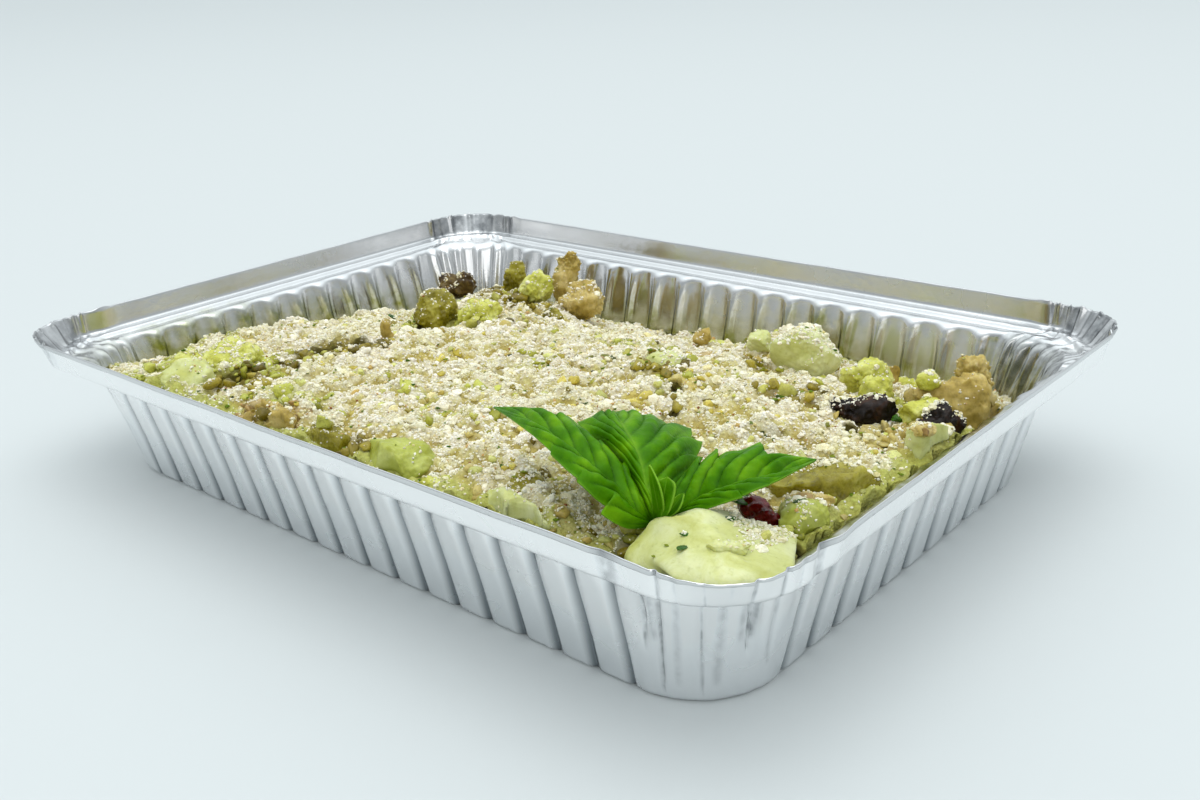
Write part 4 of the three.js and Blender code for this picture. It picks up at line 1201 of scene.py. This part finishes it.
# Larger cut pieces that show through: place in plan, radius in millimetres and tone.
LUMPY = [
    (-26.5, 8.8, 2.2, "sand"), (-1.6, -5.7, 1.4, "lime"), (-0.5, -0.9, 1.1, "sand"),
    (8.4, -5.2, 1.4, "olive"), (14.3, -0.3, 1.5, "olive"), (17.6, 0.9, 1.2, "tan"),
    (20.8, 2, 1.1, "herb"), (20.8, 8, 1.4, "olive"), (22, -19.4, 1.5, "yellow"),
    (23.3, -15.8, 1.6, "yellow"), (25.9, -12.1, 1, "olive"), (29.7, -15.3, 0.9, "tan"),
    (30.4, 7.3, 1.3, "olive"), (38.8, 13.1, 1.5, "lime"), (23.1, 41.4, 2.5, "tan"),
    (44.5, -1, 1.5, "gold"), (50.9, -8.6, 1.1, "herb"), (53.7, -4.9, 1.5, "gold"),
    (45.5, -17.7, 2.2, "yellow"), (44.3, 4.8, 1.6, "yellow"), (46.3, -9.6, 1.3, "sand"),
    (29.5, 58, 2.7, "lime"), (39.3, 44.4, 1.6, "gold"), (40, 51.1, 1.9, "gold"),
    (48.8, 34.1, 1.4, "gold"), (52.2, 19.4, 1.3, "olive"), (62.9, 4.6, 1.1, "herb"),
    (68.6, -3, 1.5, "yellow"), (72.7, 4.4, 1, "herb"), (64.9, 21.4, 1.2, "gold"),
    (77.2, 4.5, 1.6, "olive"), (60.5, -25.8, 1.1, "herb"), (63.8, -27.4, 1.2, "gold"),
    (27.7, -35.4, 1.5, "sand"), (11.2, -32.9, 1.5, "lime"), (9, -34.3, 1, "lime"),
    (78.9, 7.2, 1.7, "yellow"), (80.2, 14.5, 1.5, "olive"), (87.2, 6.1, 1.2, "gold"),
    (76.9, 52.2, 1.6, "sand"), (100.3, 19.8, 1.7, "sand"), (105, 17.3, 1.3, "lime"),
    (115.7, 6.8, 1.8, "lime"), (120.9, 2, 1.3, "lime"), (109.4, 3.3, 1.4, "sand"),
    (112.1, -11.1, 1.5, "lime"), (107.8, -14.3, 1.3, "lime"), (116.5, -5.9, 1, "tan"),
    (111.8, -37.8, 1.4, "lime"), (115.8, -38.8, 1, "sand"), (120.3, -32.8, 1.2, "lime"),
    (115.1, -30.8, 0.9, "sand"), (111.7, -46.8, 1.4, "tan"), (106.9, -48.6, 1, "sand"),
    (116.3, -50.9, 1.3, "lime"), (117.3, -57.9, 1.1, "lime"), (-27.1, -81.1, 1.7, "tan"),
    (-22.2, -79.3, 2, "olive"), (-14, -78.5, 2.2, "tan"), (-15.9, -73.5, 1.7, "gold"),
    (-14.4, -83.4, 1.2, "tan"), (-0.7, -77.6, 2.8, "lime"), (5.3, -82.2, 2.1, "gold"),
    (-2.7, -69.2, 1, "gold"), (21, -54.7, 1, "olive"), (23.3, -52, 1.2, "olive"),
    (-6.5, -50.5, 0.9, "olive"), (-53.9, -65, 1.6, "olive"), (-78.3, -53, 2, "lime"),
    (-76.1, -49.4, 1.5, "lime"), (-33.3, -60.6, 1.6, "lime"), (-41.6, -62.5, 1.3, "lime"),
    (-29.9, -43.4, 1.3, "lime"), (14, -60.9, 1.4, "yellow"), (35.1, -76.2, 1.3, "lime"),
    (39.9, -76.7, 1.1, "lime"), (42.5, -71.7, 1.1, "lime"), (69.6, -78.5, 1, "olive"),
    (60.1, -72.8, 1.2, "olive"), (71.2, -75.7, 0.9, "lime"), (81, -76.3, 1.2, "olive"),
    (85.8, -76.6, 1.2, "gold"), (88.5, -76.2, 1, "olive"), (-1, -40.7, 1, "gold"),
    (-2, -44.9, 0.9, "sand"), (16.2, -30.7, 1.1, "lime"), (-14.8, -62, 1.3, "lime"),
    (-23.1, -65.1, 1.1, "lime"), (-5.1, -57.2, 1.1, "lime"), (8.2, -60.5, 1, "olive"),
    (59.1, -33.5, 0.9, "sand"), (80, -25.3, 0.9, "sand"), (-49.4, -27.5, 1.4, "olive"),
    (-49.8, -23.5, 1.2, "lime"), (-33.3, 80.4, 1.6, "lime"), (-46.5, 82.7, 1.8, "lime"),
    (-77.5, 19.7, 2, "olive"), (-60.4, 19.9, 1.6, "olive"), (-43.2, 11.1, 1.8, "olive"),
    (-47.1, 22.7, 1.9, "lime"), (-46.1, 35.2, 1.6, "olive"),
]
rng = np.random.default_rng(8)
spots = []
for x, y, radius, _ in LUMPY:
    hit = tree.ray_cast(Vector((x, y, 70)) * MM, Vector((0, 0, -1)))[0]
    spots.append((x, y, (hit.z / MM if hit else 30.0) + 0.1 * radius, radius * 1.35))
colours = np.concatenate([tones_from(BIT_TONES[tone], 1, rng) for _, _, _, tone in LUMPY])
keep = [i for i, (x, y, z, r) in enumerate(spots) if wall_gap(x, y, z) > r]
lump_shapes = [grain_shape(700 + k, 320, 12) for k in range(16)]
lumps = joined("cut_vegetable_lumps", np.array(spots)[keep], lump_shapes, colours[keep], 0.85, rng,
               bit_paint, False)
ground += [bits, lumps]
ground_names += ["bits", "lumps"]
tree, owners = surface_under(ground)

crumb_paint = grain_material("dry_crumb", 0.85, 0.2)
CREAM = [
    (8, srgb(253, 248, 238)), (5, srgb(250, 243, 225)), (2, srgb(244, 233, 204)),
    (0.7, srgb(236, 220, 166)), (0.18, srgb(206, 166, 112)), (0.08, srgb(150, 96, 60)),
    (0.15, srgb(164, 160, 84)),
]
for part in range(3):
    strewn("crumbs_fine_" + "abc"[part], 22800, (0.22, 0.48), 8, CREAM, 11 + part, crumb_paint)
strewn("crumbs_middling", 8500, (0.35, 0.75), 20, CREAM, 15, crumb_paint)
COARSE = [
    (5, srgb(252, 246, 230)), (5, srgb(248, 240, 214)), (0.8, srgb(238, 226, 176)),
    (0.15, srgb(212, 182, 116)), (0.3, srgb(212, 210, 130)),
]
strewn("crumbs_coarse", 1000, (0.5, 0.95), 80, COARSE, 16, crumb_paint)
strewn("crumb_clumps", 800, (0.8, 1.5), 80, COARSE, 18, crumb_paint, sink=0.75)

# Chopped herbs from the dressing, on crumbs and vegetables alike.
herb_paint = grain_material("chopped_herb", 0.5, 0.1)
HERBS = [(1.5, srgb(62, 92, 6)), (3, srgb(98, 122, 22)), (3, srgb(132, 144, 44)), (0.4, srgb(44, 56, 4))]
strewn("herb_flecks", 1000, (0.25, 0.85), 20, HERBS, 17, herb_paint,
       lambda owner, x, y: 0.3 + 0.5 * (1 - bed_tone(x, y)[1]) if owner == 0 else 0.25, sink=-0.2, flat=0.35)


# ---- Basil -------------------------------------------------------------------------------------
# The growing tip of a basil stem stuck into the salad: three full leaves with a few teeth, a
# sunken midrib and side veins that the blade puckers between, and three small leaves opening.

BASIL_NODE = (90.5, -68.0, 34.8)

# Each leaf: its tip, the points that its midrib and its far and near margins pass on the way there,
# and on the large ones where along each margin the teeth stand and how long they are.
LEAVES = [
    {"tip": (42, -62.8, 47),
     "mid": [(89.1, -71.9, 39), (83.7, -72.7, 43.6), (80, -74.2, 46.6), (73.1, -73.3, 48.8),
             (63.9, -70.9, 49.6), (53.8, -67.5, 49)],
     "far": [(87, -68, 39.6), (82, -65.5, 42.8), (77.6, -65.5, 46.7), (71.5, -64.5, 48.8),
             (62.9, -63.1, 49.5), (53.7, -63.5, 49)],
     "near": [(90.1, -76.2, 37.9), (87.3, -78.8, 42.6), (83.9, -80.6, 47.3), (76.6, -78.8, 49.1),
             (66.3, -74.9, 50.5), (54.9, -69.8, 49.7)],
     "teeth": {"far": ((0.33, 2), (0.5, 0.8), (0.72, 1.7)), "near": ((0.27, 1.9), (0.45, 0.8), (0.62, 0.6))},
     "pucker": 1.2},
    {"tip": (67.3, -51.3, 47.8),
     "mid": [(91.5, -69.3, 39.3), (88.4, -67.8, 43), (85.6, -65.7, 46.2), (82.2, -63.5, 48.2),
             (77, -60, 49.2), (71.9, -55.8, 48.8)],
     "far": [(86.6, -66.9, 38.7), (79.6, -64.4, 42.4), (74.3, -63.6, 46.1), (70.2, -63, 48.2),
             (65.5, -60.2, 48.3), (66.1, -55.8, 48.3)],
     "near": [(91.4, -64.8, 37), (90.4, -58.3, 39), (89.5, -52.8, 42.2), (86.5, -49.1, 44),
             (81.1, -46.7, 45.4), (73.7, -47.7, 46.7)],
     "teeth": {"far": ((0.5, 0.6), (0.72, 0.8)), "near": ((0.47, 1.6), (0.6, 2.6), (0.73, 3.4), (0.86, 2.8))},
     "pucker": 1},
    {"tip": (110.1, -40.7, 43.8),
     "mid": [(95.5, -66.3, 38.6), (99, -63.8, 41.6), (102.7, -62.5, 43.6), (106.4, -60.8, 45),
             (109, -57.2, 45.4), (110.4, -50.7, 45)],
     "far": [(91, -62.8, 40.5), (92.2, -58.5, 44.2), (94.7, -56.2, 46.1), (98.7, -55.1, 48.1),
             (103.1, -52.9, 48.6), (107.1, -48.1, 46.9)],
     "near": [(98.7, -67.4, 39.8), (103.4, -67, 42.4), (107.5, -66.3, 44.9), (110.6, -64.4, 46.7),
             (112.2, -60.4, 47.1), (112.1, -52.4, 46.4)],
     "teeth": {"far": ((0.36, 1.4), (0.5, 1.6), (0.76, 2.3)), "near": ((0.5, 0.4), (0.7, 0.4))},
     "pucker": 1},
    {"tip": (91.3, -70, 48.6),
     "mid": [(94.2, -71.2, 40), (93.9, -71.8, 44.8)],
     "far": [(92.9, -71.3, 41.6), (92.1, -70.9, 45.6)],
     "near": [(95.9, -72, 40.8), (95.7, -72.5, 46)]},
    {"tip": (95.4, -69.7, 47),
     "mid": [(95.5, -71.9, 40), (95.9, -71.6, 44)],
     "far": [(93.2, -70.8, 40.8), (93.6, -70.9, 45.6)],
     "near": [(97.2, -72.2, 41.3), (97.9, -70.9, 46.2)]},
    {"tip": (97.4, -67.4, 43.2),
     "mid": [(95.4, -69.3, 39.6), (96.8, -68.6, 41.8)],
     "far": [(94.4, -68, 40.3), (95.8, -67.2, 42.2)],
     "near": [(97, -70.1, 40.1), (98.3, -69.6, 42)]},
]
UPPER_FACE = Vector((0.45, -0.5, 0.74))


def curve_through(points, u):
    """A point on the smooth curve through the points, u from 0 to 1 by their count."""
    pts = [Vector(p) for p in points]
    pts = [pts[0] * 2 - pts[1]] + pts + [pts[-1] * 2 - pts[-2]]
    at = min(max(u, 0.0), 1.0) * (len(pts) - 3)
    i = min(int(at), len(pts) - 4)
    t = at - i
    a, b, c, d = pts[i:i + 4]
    curved = (2 * a - 5 * b + 4 * c - d) * t * t + (3 * b - a - 3 * c + d) * t ** 3
    return 0.5 * (2 * b + (c - a) * t + curved)


def tooth(leaf, margin, u):
    """How far the margin stands out: each tooth rises slowly towards the tip and ends sharply."""
    out = 0.0
    for at, size in leaf["teeth"][margin] if "teeth" in leaf else ():
        before, after = (u - at + 0.12) / 0.12, (u - at) / 0.07
        if 0 < before < 1:
            out += size * 1.1 * before ** 1.5
        elif 0 <= after < 1:
            out -= size * 0.7 * (1 - after)
    return out


def vein(u, v):
    """How close a place on the blade is to a side rib and to the midrib, and how far off a rib."""
    spacing = 0.13
    cell = (u - 0.34 * abs(v) ** 1.2) / spacing
    off = abs(cell - round(cell)) * spacing
    side_rib = math.exp(-(off / 0.010) ** 2) * smooth((1 - abs(v)) * 4) * smooth((u - 0.08) * 12)
    return side_rib, math.exp(-(v / 0.035) ** 2), off / (spacing / 2)


def rise_of_blade(full, phase, u, v, off, mid_rib):
    """How far a large leaf's blade puckers up between its ribs and turns down at its margin."""
    out = abs(v)
    rise = 1.15 * math.sin(math.pi * min(off, 1.0) / 2) ** 0.7 * math.sin(math.pi * min(out * 1.1, 1.0))
    rise -= 0.3 * mid_rib
    rise += 0.35 * wave(u * 22, v * 7, phase) * min(1.0, out * 3) * (1 - out ** 3)
    rise += 0.7 * wave(u * 4, v * 1.6, phase) * out
    rise += 0.6 * math.sin(math.pi * out) - 0.7 * smooth((out - 0.75) / 0.25)
    return full * rise


def leaf_sheet(leaf):
    """One leaf as a grid between its margins, with its teeth, its pucker and where its ribs run."""
    large = "pucker" in leaf
    along, across = (136, 52) if large else (40, 18)
    routes = {part: [BASIL_NODE, *leaf[part], leaf["tip"]] for part in ("mid", "far", "near")}
    bm = bmesh.new()
    bmesh.ops.create_grid(bm, x_segments=along, y_segments=across, size=1.0)
    uv = bm.loops.layers.uv.new("blade")
    rib = bm.verts.layers.float.new("rib")
    sunk = bm.verts.layers.float.new("sunk")
    place_of = {vert: ((vert.co.x + 1) / 2, vert.co.y) for vert in bm.verts}
    for vert, (u, v) in place_of.items():
        here, far, near = (curve_through(routes[part], u) for part in ("mid", "far", "near"))
        ahead = curve_through(routes["mid"], min(u + 0.01, 1.0))
        ahead -= curve_through(routes["mid"], max(u - 0.01, 0.0))
        ahead.normalize()
        across_it = far - near
        lateral = (across_it - ahead * across_it.dot(ahead) + Vector((0, 1e-4, 0))).normalized()
        normal = ahead.cross(lateral)
        if normal.dot(UPPER_FACE) < 0:
            normal = -normal
        margin = "far" if v > 0 else "near"
        edge = (far if v > 0 else near) - here
        reach = abs(v) * (edge.length + 0.2)
        outward = (edge + lateral * (0.2 if v > 0 else -0.2)).normalized()
        side_rib, mid_rib, off = vein(u, v)
        spot = here + outward * reach
        spot += (outward + ahead * 0.4) * tooth(leaf, margin, u) * smooth((abs(v) - 0.5) / 0.5)
        height = 0.0
        if large:
            full = leaf["pucker"] * min(1.0, edge.length / 7.0)
            height = rise_of_blade(full, leaf["pucker"], u, v, off, mid_rib)
        # Painted highlight along the margin, stronger on the small leaves; it joins the paler midrib in the
        # rib attribute.
        light_edge = 0.5 * smooth((abs(v) - 0.95) / 0.04) if large else 0.9 * smooth((abs(v) - 0.84) / 0.1)
        vert[rib] = max(mid_rib * 0.5, light_edge)
        # Painted shade in the sunken side veins and the creases along them.
        vert[sunk] = side_rib * 0.38 + large * 0.5 * max(0.0, 1 - 2.2 * off) * math.sin(math.pi * abs(v))
        vert.co = (spot + normal * height) * MM
    for face in bm.faces:
        for loop in face.loops:
            loop[uv].uv = place_of[loop.vert]
    bmesh.ops.recalc_face_normals(bm, faces=bm.faces)
    if sum(f.normal.z for f in bm.faces) < 0:
        bmesh.ops.reverse_faces(bm, faces=bm.faces)
    return bm


leaf_paint, shader, add = new_material("basil_blade")
place = add("TexCoord", "Object")
mottle = add("TexNoise", "Fac", Vector=place, Scale=140.0, Detail=4.0)
cells = add("TexVoronoi", "Distance", Vector=place, Scale=1300.0)
green = ramp(add, mottle, (0.3, srgb(47, 98, 0)), (0.5, srgb(71, 127, 0)), (0.7, srgb(104, 156, 8)))
# Painted shade in the sunken veins.
green = blended(add, add("Attribute", "Fac", attribute_name="sunk"), green, srgb(26, 74, 0))
# Lighter green along the paler midrib and, as a painted highlight, along the margin.
green = blended(add, add("Attribute", "Fac", attribute_name="rib"), green, srgb(124, 172, 48))
fill(shader, Base_Color=green, Normal=bumps(add, (cells, 0.25, 0.0002)), Roughness=0.4,
     Specular_IOR_Level=0.07, Subsurface_Weight=0.12, Subsurface_Radius=(0.0006, 0.0012, 0.0001),
     Subsurface_Scale=1.0)


def basil_tip():
    """All the leaves as one mesh."""
    whole = bmesh.new()
    for leaf in LEAVES:
        bm = leaf_sheet(leaf)
        spare = bpy.data.meshes.new("leaf")
        bm.to_mesh(spare)
        bm.free()
        whole.from_mesh(spare)
        bpy.data.meshes.remove(spare)
    return whole


leaves = piece_from(basil_tip(), "basil_leaves", leaf_paint, ("basil_sprig",))
blade = leaves.modifiers.new("blade", "SOLIDIFY")
blade.thickness = 0.32 * MM
blade.offset = 0.0
stem = bmesh.new()
STEM_LENGTH = 8.0
middle = Vector(BASIL_NODE) - Vector((0, 0, STEM_LENGTH / 2))
bmesh.ops.create_cone(stem, cap_ends=True, segments=24, radius1=1.3 * MM, radius2=0.8 * MM,
                      depth=STEM_LENGTH * MM, matrix=Matrix.Translation(middle * MM))
piece_from(stem, "basil_stem", leaf_paint)


# ---- Floor, light and camera -------------------------------------------------------------------
# A pale sweep under soft daylight from a large window overhead and a small low one at the right,
# in a room that is darker behind the viewer, seen from beyond the tray's near corner.

sweep = bmesh.new()
bmesh.ops.create_grid(sweep, x_segments=4, y_segments=4, size=4.0)
sweep_mesh = bpy.data.meshes.new("floor")
sweep.to_mesh(sweep_mesh)
sweep.free()
floor = bpy.data.objects.new("floor", sweep_mesh)
bpy.context.scene.collection.objects.link(floor)
pale, shader, add = new_material("pale_sweep")
fill(shader, Base_Color=srgb(208, 212, 212), Roughness=0.8, Specular_IOR_Level=0.2)
floor.data.materials.append(pale)

# The room is bright overhead and on the far side, and dimmer towards the level of the table.
AWAY = (-0.66, 0.75, 0.0)
world = bpy.context.scene.world or bpy.data.worlds.new("daylight")
bpy.context.scene.world = world
world.use_nodes = True
add = adder(world.node_tree)
heading = add("TexCoord", "Generated")
height = add("SeparateXYZ", "Z", Vector=heading)
overhead = spread(add, height, 0.33, 1.0, 0.5, 1.34)
overhead.node.interpolation_type = "SMOOTHSTEP"
towards = add("VectorMath", "Value", operation="DOT_PRODUCT")
towards.node.inputs[1].default_value = AWAY
world.node_tree.links.new(heading, towards.node.inputs[0])
strength = combined(add, overhead, spread(add, towards, -0.5, 0.7, 0.0, 0.3))
fill(world.node_tree.nodes["Background"], Strength=strength, Color=(0.90, 0.97, 1.0))

# Two windows as square lamps that face the tray: where each stands in metres, its size and watts.
AIMED_AT = Vector((0, 0, 0.02))
WINDOWS = (("window_over", (0.30, -0.15, 2.6), 2.2, 19.0), ("window_low", (1.3, -1.5, 0.5), 1.3, 7.0))
for name, at, size, power in WINDOWS:
    lamp = bpy.data.lights.new(name, "AREA")
    lamp.shape = "SQUARE"
    lamp.size = size
    lamp.energy = power
    lamp.color = (1.0, 1.0, 0.99)
    light = bpy.data.objects.new(name, lamp)
    facing = (AIMED_AT - Vector(at)).to_track_quat("-Z", "Y")
    light.matrix_world = Matrix.Translation(at) @ facing.to_matrix().to_4x4()
    bpy.context.scene.collection.objects.link(light)

# The camera looks down along the tray from beyond its near corner, turned a little about its view.
CAMERA_AT = Vector((226.47, -236.27, 145.23)) * MM
YAW, PITCH, ROLL = math.radians(131.484), math.radians(21.166), math.radians(-2.586)
LENS, SENSOR_WIDTH = 36.96, 36.0
ahead = Vector((math.cos(PITCH) * math.cos(YAW), math.cos(PITCH) * math.sin(YAW), -math.sin(PITCH)))
side = Vector((math.sin(YAW), -math.cos(YAW), 0.0))
over = side.cross(ahead)
right = math.cos(ROLL) * side + math.sin(ROLL) * over
upward = math.cos(ROLL) * over - math.sin(ROLL) * side
lens = bpy.data.cameras.new("camera")
lens.sensor_width = SENSOR_WIDTH
lens.lens = LENS
lens.clip_start = 0.01
camera = bpy.data.objects.new("camera", lens)
camera.matrix_world = Matrix.Translation(CAMERA_AT) @ Matrix((right, upward, -ahead)).transposed().to_4x4()
bpy.context.scene.collection.objects.link(camera)
bpy.context.scene.camera = camera
bpy.context.scene.view_settings.view_transform = "Standard"
